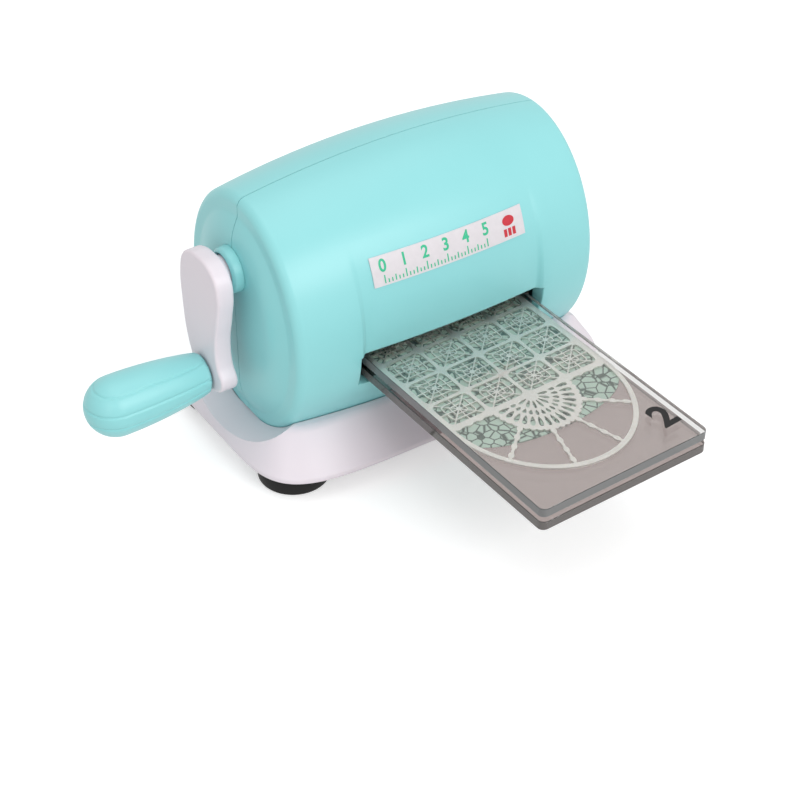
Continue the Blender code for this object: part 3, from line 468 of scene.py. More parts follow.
def soften(item, width, steps=2, degrees=40):
    """Rounds the piece's sharp edges over a little."""
    edge = item.modifiers.new("edge", "BEVEL")
    edge.width = width
    edge.segments = steps
    edge.limit_method = "ANGLE"
    edge.angle_limit = math.radians(degrees)
    return apply_all(item)


def flecked(name, low_hex, high_hex, roughness, scale=420.0, specular=0.5, pit_strength=0.0):
    """Rubber, vinyl or ink: one even colour with the faintest fleck, and pits if moulded.

    The fleck is 0.7 to 2.5 mm across, drawn coarser than real so that it shows.
    """
    material, shader, place = start_material(name, roughness)
    shader.inputs["Specular IOR Level"].default_value = specular
    fleck = add_node(material, "ShaderNodeTexNoise", {}, {"Scale": scale, "Detail": 3.0},
                     {"Vector": place})
    tone = add_node(material, "ShaderNodeValToRGB", {}, {}, {"Fac": fleck.outputs["Fac"]})
    tone.color_ramp.elements[0].color = linear(low_hex)
    tone.color_ramp.elements[1].color = linear(high_hex)
    feed(material, shader, {"Base Color": tone.outputs["Color"]})
    if pit_strength:
        pits = add_node(material, "ShaderNodeBump", {},
                        {"Strength": pit_strength, "Distance": 0.00005},
                        {"Height": fleck.outputs["Fac"]})
        feed(material, shader, {"Normal": pits.outputs["Normal"]})
    return material


# Nitrile rubber, moulded: near black and dull, with a fleck of filler.
black_rubber = flecked("black_nitrile_rubber", "#0E0D0D", "#1D1C1C", 0.62, 1400.0, 0.3, 0.3)

foot_profile = [(0.0077, 0.0018), (0.0077, foot_radius), (0.0008, foot_radius), (0, 0.0133),
                (0, 0.0046), (0.0040, 0.0046), (0.0040, 0.0018), (0.0077, 0.0018)]
foot_names = ("front_left", "rear_left", "front_right", "rear_right")
foot = soften(turn_on_lathe(foot_profile, (*foot_places[0], 0), "Z", 96), 0.0005)
for name, (x, y) in zip(foot_names, foot_places):
    pad = copy_to(foot, (x - foot_places[0][0], y - foot_places[0][1], 0))
    pad = dress(pad, f"rubber_pad_{name}", black_rubber)
    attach(pad, "machine")
    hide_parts(f"foot_{name}")
bpy.data.objects.remove(foot, do_unlink=True)


# SCREWS
# Slotted pan head screws of zinc plated steel: four hold the feet, eight come up
# through the deck into the frames and the casing, four join the casing halves.
def plated_steel(name, low_hex, high_hex, roughness, streaks):
    """Plated, ground or sintered metal with fine marks, long along one direction or even.

    The marks' pitch, 0.5 to 1.7 mm, is drawn coarser than real so that they show.
    """
    material, shader, place = start_material(name, roughness, 1.0)
    stretch = add_node(material, "ShaderNodeMapping", {}, {"Scale": streaks}, {"Vector": place})
    marks = add_node(material, "ShaderNodeTexNoise", {}, {"Scale": 1.0, "Detail": 4.0},
                     {"Vector": stretch.outputs["Vector"]})
    tone = add_node(material, "ShaderNodeValToRGB", {}, {}, {"Fac": marks.outputs["Fac"]})
    tone.color_ramp.elements[0].position = 0.3
    tone.color_ramp.elements[0].color = linear(low_hex)
    tone.color_ramp.elements[1].position = 0.7
    tone.color_ramp.elements[1].color = linear(high_hex)
    gloss = add_node(material, "ShaderNodeMapRange", {},
                     {"To Min": roughness - 0.06, "To Max": roughness + 0.1},
                     {"Value": marks.outputs["Fac"]})
    bump = add_node(material, "ShaderNodeBump", {}, {"Strength": 0.1, "Distance": 0.00003},
                    {"Height": marks.outputs["Fac"]})
    feed(material, shader, {"Base Color": tone.outputs["Color"],
                            "Roughness": gloss.outputs["Result"],
                            "Normal": bump.outputs["Normal"]})
    return material


# Zinc plate on steel: a pale grey, half bright and evenly mottled.
zinc_plated_steel = plated_steel("zinc_plated_steel", "#A9ABAE", "#C9CBCD", 0.34,
                                 (600, 600, 600))
screw_shank, screw_point = 0.0015, 0.0015
screw_head, screw_head_height, screw_head_side = 0.0028, 0.0016, 0.0007
screw_crown, crown_share, face_share = 0.0003, 0.8, 0.45
screw_slot, screw_slot_depth, slot_tool_size = 0.0008, 0.0007, 0.01
for prefix, along, tip_side in (("foot_screw", "Z", 1), ("frame_screw", "Z", 1),
                                ("body_screw", "Z", 1), ("casing_screw", "Y", -1)):
    nodes = sorted(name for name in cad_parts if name.startswith(prefix))
    low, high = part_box(nodes[0])
    index = "XYZ".index(along)
    head_face = low[index] if tip_side > 0 else high[index]
    seat = head_face + tip_side * screw_head_height
    tip = high[index] if tip_side > 0 else low[index]
    outline = [(tip, 0), (tip - tip_side * screw_point, screw_shank), (seat, screw_shank),
               (seat, screw_head), (seat - tip_side * screw_head_side, screw_head),
               (head_face + tip_side * screw_crown, screw_head * crown_share),
               (head_face, screw_head * face_share), (head_face, 0)]
    middle = (low + high) / 2
    centre = [0 if i == index else middle[i] for i in range(3)]
    master = turn_on_lathe(outline, centre, along, 40)
    slot_tool = start_shape(bpy.ops.mesh.primitive_cube_add, size=1)
    slot_tool.scale = [screw_slot if axis == "X" else slot_tool_size for axis in "XYZ"]
    slot_place = list(middle)
    slot_place[index] = head_face + tip_side * (screw_slot_depth - slot_tool_size / 2)
    slot_tool.location = slot_place
    cut(master, apply_all(slot_tool))
    for node in nodes:
        node_low, node_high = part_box(node)
        screw = copy_to(master, (node_low + node_high) / 2 - middle)
        screw = dress(screw, f"pan_head_{node}", zinc_plated_steel)
        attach(screw, "machine")
        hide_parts(node)
    bpy.data.objects.remove(master, do_unlink=True)


# CRANK COLLAR
# A fixed collar of aqua ABS that snaps into the casing's left end round the crank
# shaft. Its open face is a cup, in which the arm's spigot turns.
crank_z = 0.080492
collar_profile = [(-0.0674, 0.0033), (-0.0674, 0.0072), (-0.07025, 0.0072), (-0.07025, 0.0092),
                  (-0.0736, 0.0088), (-0.0746, 0.0078), (-0.0746, 0.0073), (-0.0716, 0.0073),
                  (-0.0716, 0.0033), (-0.0674, 0.0033)]
collar = turn_on_lathe(collar_profile, (barrel_x, barrel_y, crank_z), "X", 96)
collar = dress(soften(collar, 0.0004, 3, 25), "shaft_collar", aqua_abs)
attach(collar, "machine")
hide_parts("crank_collar")


# CRANK ARM
# A flat waisted arm moulded in the base's cool white ABS, with a well rounded rim.
# A spigot on its inner side takes the shaft, and the handle's pin goes through its foot.
arm_inner, arm_outer = barrel_x - 0.0775, barrel_x - 0.0847
arm_edge = 0.0012
spigot_radius, spigot_end = 0.0064, barrel_x - 0.0725
socket_radius, socket_end = 0.0033, barrel_x - 0.0827
pin_hole, pin_recess, pin_recess_depth = 0.0023, 0.0043, 0.0019
cut_overrun = 0.001
handle_z = 0.038792
arm_knots_mm = ((0, 10.5), (-7.9, 9.7), (-12.8, 5.8), (-14.4, 0), (-12.4, -12.1), (-9.8, -24.2),
                (-10.4, -34.2), (-13.4, -40.0), (-11.5, -44.4), (-6.5, -47.1), (0, -48.0),
                (5.7, -45.7), (9.75, -40.0), (13.2, -31.3), (15.0, -16.7), (14.7, -2.1),
                (11.7, 5.8), (6.3, 9.3))


def drawn_plate(outlines, thickness, edge=0.0, edge_steps=3, smooth=False):
    """A flat outline with its holes, drawn as curves, given thickness and made a mesh."""
    shape = bpy.data.curves.new("outline", "CURVE")
    shape.dimensions = "2D"
    shape.fill_mode = "BOTH"
    shape.resolution_u = 8
    for outline in outlines:
        line = shape.splines.new("BEZIER" if smooth else "POLY")
        points = line.bezier_points if smooth else line.points
        points.add(len(outline) - 1)
        for point, (x, y) in zip(points, outline):
            point.co = (x, y, 0) if smooth else (x, y, 0, 1)
            if smooth:
                point.handle_left_type = point.handle_right_type = "AUTO"
        line.use_cyclic_u = True
    shape.extrude = thickness / 2 - edge
    shape.bevel_depth = edge
    shape.bevel_resolution = edge_steps
    shape.offset = -edge
    item = bpy.data.objects.new("outline", shape)
    bpy.context.scene.collection.objects.link(item)
    pick(item)
    bpy.ops.object.convert(target="MESH")
    item = bpy.context.object
    edit(item)
    weld_open()
    return item


def bar_along_x(radius, low, high, y, z, sides=64):
    """A round bar to start from, lying along X."""
    return apply_all(start_shape(
        bpy.ops.mesh.primitive_cylinder_add, vertices=sides, radius=radius, depth=high - low,
        location=((low + high) / 2, y, z), rotation=(0, math.pi / 2, 0)))


arm = drawn_plate([[(y / 1000, z / 1000) for y, z in arm_knots_mm]], arm_inner - arm_outer,
                  arm_edge, 5, smooth=True)
arm.rotation_euler = (math.pi / 2, 0, math.pi / 2)
arm.location = ((arm_inner + arm_outer) / 2, barrel_y, crank_z)
apply_all(arm)
for radius, low, high, height, operation in (
        (spigot_radius, arm_inner - 2 * cut_overrun, spigot_end, crank_z, "UNION"),
        (socket_radius, socket_end, spigot_end + cut_overrun, crank_z, "DIFFERENCE"),
        (pin_hole, arm_outer - cut_overrun, arm_inner + cut_overrun, handle_z, "DIFFERENCE"),
        (pin_recess, arm_inner - pin_recess_depth, arm_inner + cut_overrun, handle_z,
         "DIFFERENCE")):
    cut(arm, bar_along_x(radius, low, high, barrel_y, height), operation)
arm = dress(arm, "waisted_arm", cool_white_abs)
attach(arm, "crank")
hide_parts("crank_arm")


# HANDLE GRIP
# A hollow moulded grip of aqua ABS, a long egg that spins on its pin. Moulded grooves
# run down it from the neck and turn round its far end, like the edges of petals.
grip_start, grip_length = barrel_x - 0.0853, 0.0489
grip_neck, grip_belly, grip_belly_place = 0.0077, 0.0118, 0.75
grip_bore, grip_bore_depth = 0.0023, 0.0333
mouth_round, mouth_middle, mouth_share = 0.0010, 0.0003, 0.0215
neck_steps, end_steps = 90, 60
groove_depth, groove_half_width = 0.00042, 0.00075
top_groove_rise, top_groove_climb, side_groove_share = 0.0076, 0.0014, 0.235


def grip_radius(share):
    """Radius of the grip at a share of its length from the arm."""
    if share <= grip_belly_place:
        rise = math.sin(math.pi / 2 * share / grip_belly_place)
        return grip_neck + (grip_belly - grip_neck) * rise ** 0.72
    fall = (share - grip_belly_place) / (1 - grip_belly_place)
    return grip_belly * math.sqrt(max(1 - fall * fall, 0))


grip_profile = [(-grip_bore_depth, 0), (-grip_bore_depth, grip_bore), (0, grip_bore),
                (0, grip_neck - mouth_round), (-mouth_middle, grip_neck - mouth_middle),
                (-mouth_round, grip_neck)]
shares = [max(grip_belly_place * i / neck_steps, mouth_share) for i in range(1, neck_steps + 1)]
shares += [grip_belly_place + (1 - grip_belly_place) * math.sin(math.pi / 2 * i / end_steps)
           for i in range(1, end_steps + 1)]
grip_profile += [(-grip_length * share, grip_radius(share)) for share in shares]
grip_profile[-1] = (-grip_length, 0)
grip = turn_on_lathe(grip_profile, (grip_start, barrel_y, handle_z), "X", 240)
grooves = grip.vertex_groups.new(name="grooves")
for corner in grip.data.vertices:
    share = (grip_start - corner.co.x) / grip_length
    radius = grip_radius(share)
    away = math.hypot(corner.co.y - barrel_y, corner.co.z - handle_z)
    if share < 0.02 or away < radius - 0.0002 or share > 0.999:
        continue
    rise = abs(corner.co.z - handle_z)
    lean = min(rise / radius, 1)
    growth = grip_radius(min(share + 0.004, 1)) - grip_radius(share - 0.004)
    slope = growth / (0.008 * grip_length)
    steepness = math.sqrt(1 - lean * lean + (slope * lean) ** 2 / (1 + slope * slope)) + 1e-4
    top_line = top_groove_rise + top_groove_climb * ease(share / 0.6)
    side_line = side_groove_share * (radius if share < grip_belly_place else grip_belly)
    miss = min(abs(rise - top_line), abs(rise - side_line)) / steepness
    if miss < groove_half_width:
        grooves.add([corner.index], (1 - (miss / groove_half_width) ** 2) ** 2, "REPLACE")
press_in = grip.modifiers.new("grooves", "DISPLACE")
press_in.vertex_group = "grooves"
press_in.mid_level = 0
press_in.strength = -groove_depth
grip = dress(apply_all(grip), "petal_grip", aqua_abs, 60)
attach(grip, "grip")
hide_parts("handle_grip")

# The grip's pin is a headed steel rivet, let into the arm's inner side.
pin_sunk, pin_reach = 0.00015, 0.0330
pin_radius, pin_head, pin_head_height = 0.0020, 0.0040, 0.0016
pin_x = arm_inner - pin_sunk
pin_end = grip_start - pin_reach - pin_x
pin = turn_on_lathe([(0, 0), (0, pin_head), (-pin_head_height, pin_head),
                     (-pin_head_height, pin_radius), (pin_end, pin_radius), (pin_end, 0)],
                    (pin_x, barrel_y, handle_z), "X", 48)
pin = dress(soften(pin, 0.0002), "grip_pin", zinc_plated_steel)
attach(pin, "crank")
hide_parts("handle_pin")


# LABEL
# A strip of white vinyl stuck on the front panel above the slot. It is printed with a
# green scale for the paper's width and, at its right end, a red oval above three bars.
label_half_length, label_low, label_high = 0.0336, 0.080292, 0.090792
label_skin, label_film, print_lift = 0.00006, 0.00044, 0.00004
blank_y = barrel_y - 0.06
scale_start, tick_pitch, tick_count, tick_half_width = -0.0290, 0.0015, 31, 0.00024
tick_foot, long_tick, middle_tick, short_tick = 0.0009, 0.0030, 0.0022, 0.0014
digit_height, digit_rise, digit_weight = 0.0044, 0.0071, 0.00015
dot_across, dot_rise, dot_half_width, dot_half_height = 0.0267, 0.0070, 0.0027, 0.0018
bar_across, bar_pitch, bar_rise = 0.0247, 0.0020, 0.0029
red_bar_half_width, red_bar_half_height = 0.0007, 0.0014


def press_on(item, ground, gap, thickness):
    """Lays a flat upright piece on the front panel and gives it a thickness."""
    wrap = item.modifiers.new("lay", "SHRINKWRAP")
    wrap.target = ground
    wrap.wrap_method = "PROJECT"
    wrap.use_project_y = True
    wrap.use_negative_direction = False
    wrap.use_positive_direction = True
    wrap.offset = gap
    film = item.modifiers.new("film", "SOLIDIFY")
    film.thickness = thickness
    film.offset = 1
    return apply_all(item)


def upright_sheet(across, height, half_width, half_height, columns, rows):
    """A flat grid in front of the panel, facing the front, to be pressed on it."""
    sheet = start_shape(bpy.ops.mesh.primitive_grid_add, x_subdivisions=columns,
                        y_subdivisions=rows, size=1, rotation=(math.pi / 2, 0, 0),
                        location=(barrel_x + across, blank_y, height))
    sheet.scale = (2 * half_width, 2 * half_height, 1)
    return apply_all(sheet)


def printed_text(words, height, thickness, weight):
    """Words of the built-in face as a thin flat mesh, centred, lying on Z = 0."""
    item = start_shape(bpy.ops.object.text_add)
    item.data.body = words
    item.data.align_x = item.data.align_y = "CENTER"
    item.data.size = height / 0.72
    item.data.offset = weight
    item.data.extrude = thickness / 2
    bpy.ops.object.convert(target="MESH")
    item = bpy.context.object
    edit(item)
    weld_open()
    return item


# Calendered vinyl film, white with a soft sheen, and flat even inks printed on it.
white_vinyl = flecked("white_vinyl", "#D4CFD3", "#DFDADE", 0.35)
green_ink = flecked("green_print", "#25B083", "#3CC296", 0.4)
red_ink = flecked("red_print", "#B81E2E", "#D0303F", 0.4)
label_middle = (label_low + label_high) / 2
strip = upright_sheet(0, label_middle, label_half_length, (label_high - label_low) / 2, 96, 20)
press_on(strip, halves["front"], label_skin, label_film)
strip = dress(strip, "vinyl_strip", white_vinyl)
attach(strip, "machine")
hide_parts("label")

marks = {"green": [], "red": []}
for i in range(tick_count):
    tall = long_tick if i % 6 == 0 else middle_tick if i % 3 == 0 else short_tick
    marks["green"].append(upright_sheet(scale_start + i * tick_pitch,
                                        label_low + tick_foot + tall / 2,
                                        tick_half_width, tall / 2, 2, 5))
for i in range(6):
    digit = printed_text(str(i), digit_height, 0, digit_weight)
    digit.rotation_euler = (math.pi / 2, 0, 0)
    digit.location = (barrel_x + scale_start + i * 6 * tick_pitch, blank_y, label_low + digit_rise)
    marks["green"].append(apply_all(digit))
dot = start_shape(bpy.ops.mesh.primitive_circle_add, vertices=40, radius=1, fill_type="TRIFAN",
                  location=(barrel_x + dot_across, blank_y, label_low + dot_rise),
                  rotation=(math.pi / 2, 0, 0))
dot.scale = (dot_half_width, dot_half_height, 1)
marks["red"].append(apply_all(dot))
for i in range(3):
    marks["red"].append(upright_sheet(bar_across + i * bar_pitch, label_low + bar_rise,
                                      red_bar_half_width, red_bar_half_height, 4, 6))
for name, shapes in marks.items():
    bpy.ops.object.select_all(action="DESELECT")
    for shape in shapes:
        shape.select_set(True)
    bpy.context.view_layer.objects.active = shapes[0]
    bpy.ops.object.join()
    printing = press_on(bpy.context.object, strip, print_lift, print_lift)
    printing = dress(printing, f"{name}_scale_print", green_ink if name == "green" else red_ink)
    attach(printing, "machine")


# ROLLERS, SHAFT AND GEARS
# Two ground and polished steel rollers pinch the plates. The crank shaft above turns
# the upper one through nylon gears at the crank end, and equal gears couple the lower.
# The rollers are polished bright and the shafts only ground, both with marks round them.
polished_steel = plated_steel("polished_roller_steel", "#C4C6C8", "#D6D8DA", 0.16,
                              (90, 1800, 1800))
ground_steel = plated_steel("ground_shaft_steel", "#A4A7AB", "#BFC2C5", 0.3, (120, 1500, 1500))
lower_roller_z, upper_roller_z = 0.031092, 0.061492
roller_profile = [(0.0563, 0), (0.0563, 0.0030), (0.0435, 0.0030), (0.0435, 0.0092),
                  (0.0427, 0.0100), (-0.0427, 0.0100), (-0.0435, 0.0092), (-0.0435, 0.0030),
                  (-0.0563, 0.0030), (-0.0563, 0)]
for name, height in (("lower", lower_roller_z), ("upper", upper_roller_z)):
    roller = turn_on_lathe(roller_profile, (barrel_x, barrel_y, height), "X", 128)
    roller = dress(soften(roller, 0.0003), f"pressure_roller_{name}", polished_steel)
    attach(roller, f"{name}_press")
    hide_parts(f"{name}_roller")
shaft = turn_on_lathe([(0.0480, 0), (0.0480, 0.0030), (-0.0824, 0.0030), (-0.0824, 0)],
                      (barrel_x, barrel_y, crank_z), "X", 64)
shaft = dress(soften(shaft, 0.0003), "main_shaft", ground_steel)
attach(shaft, "crank")
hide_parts("crank_shaft")

# Natural nylon, moulded: a warm off-white, duller than the casing.
moulded_nylon = moulded_plastic("moulded_nylon", "#D6D2C4", "#DEDBCF", 0.42, 0.6)
for node in ("lower_roller_gear", "upper_roller_gear", "drive_gear", "crank_pinion"):
    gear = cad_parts[node]
    gear.data.materials.clear()
    gear.data.materials.append(moulded_nylon)


# SIDE FRAMES, BUSHINGS AND TIE RODS
# Two pressed plates of zinc plated steel carry the shafts in sintered bronze bushings,
# four turned rods hold them apart, and a tab at each foot is screwed to the deck.
for node in ("side_frame_left", "side_frame_right"):
    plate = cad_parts[node]
    plate.data.materials.clear()
    plate.data.materials.append(zinc_plated_steel)
# Oil-filled sintered bronze: brown, half matt and evenly speckled.
sintered_bronze = plated_steel("sintered_bronze", "#8A6238", "#A77C4B", 0.42, (900, 900, 900))
for name, height in (("lower_roller", lower_roller_z), ("upper_roller", upper_roller_z),
                     ("crank", crank_z)):
    for end, end_name in ((-1, "left"), (1, "right")):
        profile = [(end * x, radius) for x, radius in
                   ((0.0483, 0.0033), (0.0483, 0.0055), (0.0447, 0.0055), (0.0447, 0.0069),
                    (0.0438, 0.0069), (0.0438, 0.0033), (0.0483, 0.0033))]
        bush = turn_on_lathe(profile, (barrel_x, barrel_y, height), "X", 64)
        bush = dress(soften(bush, 0.0002), f"bronze_bush_{name}_{end_name}", sintered_bronze)
        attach(bush, "machine")
        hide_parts(f"{name}_bushing_{end_name}")
for node in sorted(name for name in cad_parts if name.startswith("tie_rod")):
    low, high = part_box(node)
    rod = turn_on_lathe([(0.0480, 0), (0.0480, 0.0018), (0.0447, 0.0018), (0.0447, 0.0025),
                         (-0.0447, 0.0025), (-0.0447, 0.0018), (-0.0480, 0.0018), (-0.0480, 0)],
                        (barrel_x, (low.y + high.y) / 2, (low.z + high.z) / 2), "X", 40)
    rod = dress(soften(rod, 0.0002), f"turned_{node}", ground_steel)
    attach(rod, "machine")
    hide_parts(node)


# CUTTING PLATES
# Two sheets of cast acrylic with edges left satin by the saw and eased corners. The lower
# one is tinted grey-brown as painted shade, standing for the shade under the stack that
# shows through both sheets. They lie a little askew, as fed in by hand.
stack_x, stack_y, stack_turn = 0.0257978, 0.0470598, math.radians(2.0)
plate_half_width, plate_half_length, plate_corner = 0.0375, 0.0760, 0.0026
lower_plate_z, lower_plate_thickness = 0.041492, 0.0039
upper_plate_z, upper_plate_thickness = 0.047292, 0.0038
near_end = -0.143788


def lay_in_stack(item, height):
    """Turns a flat piece with the stack and puts its middle at a height."""
    item.location = (stack_x, stack_y, height)
    item.rotation_euler = (0, 0, stack_turn)
    return apply_all(item)


def cast_acrylic(name, surface_hex, edge_hex, through_hex, density):
    """Cast acrylic: clear faces with faint scuffs, sawn edges that are satin and half clear.

    The scuffs are about 4 mm across, drawn coarser than real so that they show.
    """
    material, shader, place = start_material(name, 0.03)
    shader.inputs["IOR"].default_value = 1.49
    facing = add_node(material, "ShaderNodeNewGeometry", {}, {}, {})
    upward = add_node(material, "ShaderNodeSeparateXYZ", {}, {},
                      {"Vector": facing.outputs["True Normal"]})
    level = add_node(material, "ShaderNodeMath", {"operation": "ABSOLUTE"}, {},
                     {0: upward.outputs["Z"]})
    on_face = add_node(material, "ShaderNodeMapRange", {}, {"From Min": 0.3, "From Max": 0.7},
                       {"Value": level.outputs["Value"]})
    clearness = add_node(material, "ShaderNodeMapRange", {}, {"To Min": 0.55, "To Max": 1.0},
                         {"Value": on_face.outputs["Result"]})
    tint = add_node(material, "ShaderNodeMix", {"data_type": "RGBA"},
                    {"A": linear(edge_hex), "B": linear(surface_hex)},
                    {"Factor": on_face.outputs["Result"]})
    scuffs = add_node(material, "ShaderNodeTexNoise", {}, {"Scale": 260.0, "Detail": 5.0},
                      {"Vector": place})
    gloss = add_node(material, "ShaderNodeMapRange", {},
                     {"From Min": 0.45, "From Max": 0.75, "To Min": 0.015, "To Max": 0.08},
                     {"Value": scuffs.outputs["Fac"]})
    depth = add_node(material, "ShaderNodeVolumeAbsorption", {},
                     {"Color": linear(through_hex), "Density": density}, {})
    feed(material, shader, {"Base Color": tint.outputs["Result"],
                            "Transmission Weight": clearness.outputs["Result"],
                            "Roughness": gloss.outputs["Result"]})
    feed(material, material.node_tree.nodes["Material Output"],
         {"Volume": depth.outputs["Volume"]})
    return material


clear_acrylic = cast_acrylic("clear_cast_acrylic", "#F6F5F4", "#A5A6A6", "#DCE4E2", 14.0)
# The lower sheet's grey-brown tint, on its faces and through its depth, is painted shade: it stands
# for the shade under the stack that shows through both sheets.
shade_tinted_acrylic = cast_acrylic("shade_tinted_cast_acrylic", "#AFA29F", "#8E8885", "#D8D0CC", 18.0)

plate_table = (("lower_plate", lower_plate_z, lower_plate_thickness, shade_tinted_acrylic),
               ("upper_plate", upper_plate_z, upper_plate_thickness, clear_acrylic))
for node, low_face, thickness, acrylic in plate_table:
    sheet = start_shape(bpy.ops.mesh.primitive_cube_add, size=1,
                        location=(0, near_end + plate_half_length, 0))
    sheet.scale = (2 * plate_half_width, 2 * plate_half_length, thickness)
    edit(apply_all(sheet))
    bpy.ops.mesh.select_mode(type="EDGE")
    bpy.ops.mesh.select_all(action="DESELECT")
    work = bmesh.from_edit_mesh(sheet.data)
    for edge in work.edges:
        if abs(edge.verts[0].co.z - edge.verts[1].co.z) > thickness / 2:
            edge.select_set(True)
    bmesh.update_edit_mesh(sheet.data)
    bpy.ops.mesh.bevel(offset=plate_corner, segments=8, affect="EDGES")
    close_edit()
    soften(sheet, 0.00035, 3, 60)
    lay_in_stack(sheet, low_face + thickness / 2)
    sheet = dress(sheet, f"acrylic_{node}", acrylic, 5)
    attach(sheet, "plate_stack")
    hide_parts(node)

# The upper plate has its number screen printed near the front corner.
number_place, number_turn, number_height = (0.0293, 0.0150), math.radians(4), 0.0116
number_weight, ink_thickness = 0.0005, 0.00006

# Screen ink: a thin even black, a little duller than the acrylic round it.
black_ink = flecked("black_screen_ink", "#0A090A", "#181718", 0.45, 900.0, 0.3)
number = printed_text("2", number_height, ink_thickness, number_weight)
number.rotation_euler = (0, 0, number_turn)
number.location = (number_place[0], near_end + number_place[1], 0)
apply_all(number)
lay_in_stack(number, upper_plate_z + upper_plate_thickness + 0.75 * ink_thickness)
number = dress(number, "plate_number_upper", black_ink)
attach(number, "plate_stack")


# CUTTING DIE
# A thin chemically etched steel die with an arched front: a plain rim, beaded bars
# that fan out from a pierced hub, and rows of tiles with a web of fine bars behind.
die_half_width, die_drop, die_length = 0.0362, 0.0430, 0.1200
die_margin, die_middle_z, die_thickness = 0.0112, 0.046642, 0.0007
die_rim, die_bar = 0.0018, 0.0014
die_front = near_end + die_margin + die_drop
petal_rings = ((7, 0.0046, 0.0020, 0.00055), (13, 0.0087, 0.0012, 0.00062),
               (16, 0.0132, 0.0024, 0.00080))
bead_half_width, scallop_depth, tile_eye = 0.0005, 0.0007, 0.0007
die_hub, die_windows, die_bead = 0.0170, 5, 0.0048
tile_rows, tile_columns, tile_power = 5, 4, 7.0
vein_half_width = 0.00024


def arch(half_width, drop, length, steps=64):
    """A sheet's outline with an arched front end, which springs from the line y = 0."""
    points = [(half_width * math.cos(math.pi * (1 + i / steps)),
               drop * math.sin(math.pi * (1 + i / steps))) for i in range(steps + 1)]
    return points + [(half_width, length - drop), (-half_width, length - drop)]


def bar_half_width(radius):
    """Half the width of a fan bar, a thin rod with round beads along it."""
    swell = max(math.sin(2 * math.pi * (radius - die_hub) / die_bead), 0)
    return bead_half_width * (1 + math.sqrt(swell))


def petal_ring(count, middle, half_length, half_width):
    """A ring of egg shaped holes in the hub, pointed at its middle."""
    ring = []
    for i in range(count):
        turn = math.pi * (1 + (i + 0.5) / count)
        petal = []
        for j in range(20):
            angle = 2 * math.pi * j / 20
            radius = middle + half_length * math.cos(angle)
            swing = half_width * math.sin(angle) * (1.0 + 0.45 * math.cos(angle))
            petal.append((radius * math.cos(turn) - swing * math.sin(turn),
                          radius * math.sin(turn) + swing * math.cos(turn)))
        ring.append(petal)
    return ring


die_outer = die_half_width - die_rim
fan = [petal for ring in petal_rings for petal in petal_ring(*ring)]
for i in range(die_windows):
    start, end = (math.pi * (1 + (i + k) / die_windows) for k in (0, 1))
    radii = [die_hub + (die_outer - die_hub) * j / 96 for j in range(97)]
    sides = [(radius, start + bar_half_width(radius) / radius) for radius in radii]
    first, last = sides[-1][1], end - bar_half_width(die_outer) / die_outer
    sides += [(die_outer, first + (last - first) * j / 24) for j in range(1, 24)]
    sides += [(radius, end - bar_half_width(radius) / radius) for radius in reversed(radii)]
    first, last = sides[-1][1], sides[0][1]
    sides += [(die_hub + scallop_depth * abs(math.sin(math.pi * 4 * j / 32)),
               first + (last - first) * j / 32) for j in range(1, 32)]
    fan.append([(radius * math.cos(turn), radius * math.sin(turn)) for radius, turn in sides])
die_outlines = [arch(die_half_width, die_drop, die_length)]
die_outlines += [[(x, y * die_drop / die_half_width) for x, y in window] for window in fan]
field_end = die_length - die_drop - die_rim
pitch_x = 2 * die_outer / tile_columns
pitch_y = (field_end - die_bar) / tile_rows
tile_half_x, tile_half_y = (pitch_x - die_bar) / 2, (pitch_y - die_bar) / 2
for row in range(tile_rows):
    for column in range(tile_columns):
        x = pitch_x * (column - (tile_columns - 1) / 2)
        y = die_bar + pitch_y * (row + 0.5)
        for k in range(8):
            for near_share, far_share in ((0.0, 0.34), (0.34, 0.66), (0.66, 1.0)):
                cell = []
                for j in range(18):
                    rim = j < 9
                    turn = math.pi / 4 * (k + (j if rim else 17 - j) / 8)
                    over_x = (abs(math.cos(turn)) / tile_half_x) ** tile_power
                    over_y = (abs(math.sin(turn)) / tile_half_y) ** tile_power
                    reach = (over_x + over_y) ** (-1 / tile_power)
                    if rim:
                        radius = reach * far_share - vein_half_width * (far_share < 1)
                    else:
                        radius = reach * near_share + vein_half_width + tile_eye * (near_share == 0)
                    inset = vein_half_width / radius
                    turn = min(max(turn, math.pi / 4 * k + inset), math.pi / 4 * (k + 1) - inset)
                    cell.append((x + radius * math.cos(turn), y + radius * math.sin(turn)))
                die_outlines.append(cell)

# Etched steel: a bright, half matt metal with no direction to its marks.
etched_steel = plated_steel("etched_die_steel", "#FBF8F2", "#FFFEFB", 0.5, (700, 700, 700))
die = drawn_plate([[(x, y + die_front) for x, y in outline] for outline in die_outlines],
                  die_thickness)
lay_in_stack(die, die_middle_z)
die = dress(die, "openwork_die", etched_steel, 20)
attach(die, "plate_stack")
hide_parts("cutting_die")


# PAPER CARD
# A sheet of pale green printed card under the die, with a shallow arched front edge.
# Its print is a plain pebble pattern in dark outline.
card_half_width, card_drop, card_length, card_margin = 0.0350, 0.014, 0.098, 0.034
card_middle_z, card_thickness = 0.045842, 0.0003

# Uncoated card: matt, with the print sunk in. The printed pebbles are about 4 mm across.
printed_card, card_shader, card_place = start_material("printed_card", 0.75)
pebbles = add_node(printed_card, "ShaderNodeTexVoronoi", {"feature": "DISTANCE_TO_EDGE"},
                   {"Scale": 260.0, "Randomness": 0.85}, {"Vector": card_place})
pebble_line = add_node(printed_card, "ShaderNodeMapRange", {},
                       {"From Min": 0.03, "From Max": 0.09}, {"Value": pebbles.outputs["Distance"]})
card_tint = add_node(printed_card, "ShaderNodeMix", {"data_type": "RGBA"},
                     {"A": linear("#5F6F66"), "B": linear("#CFE6D9")},
                     {"Factor": pebble_line.outputs["Result"]})
feed(printed_card, card_shader, {"Base Color": card_tint.outputs["Result"]})
card = drawn_plate([[(x, y + near_end + card_margin + card_drop)
                     for x, y in arch(card_half_width, card_drop, card_length)]], card_thickness)
lay_in_stack(card, card_middle_z)
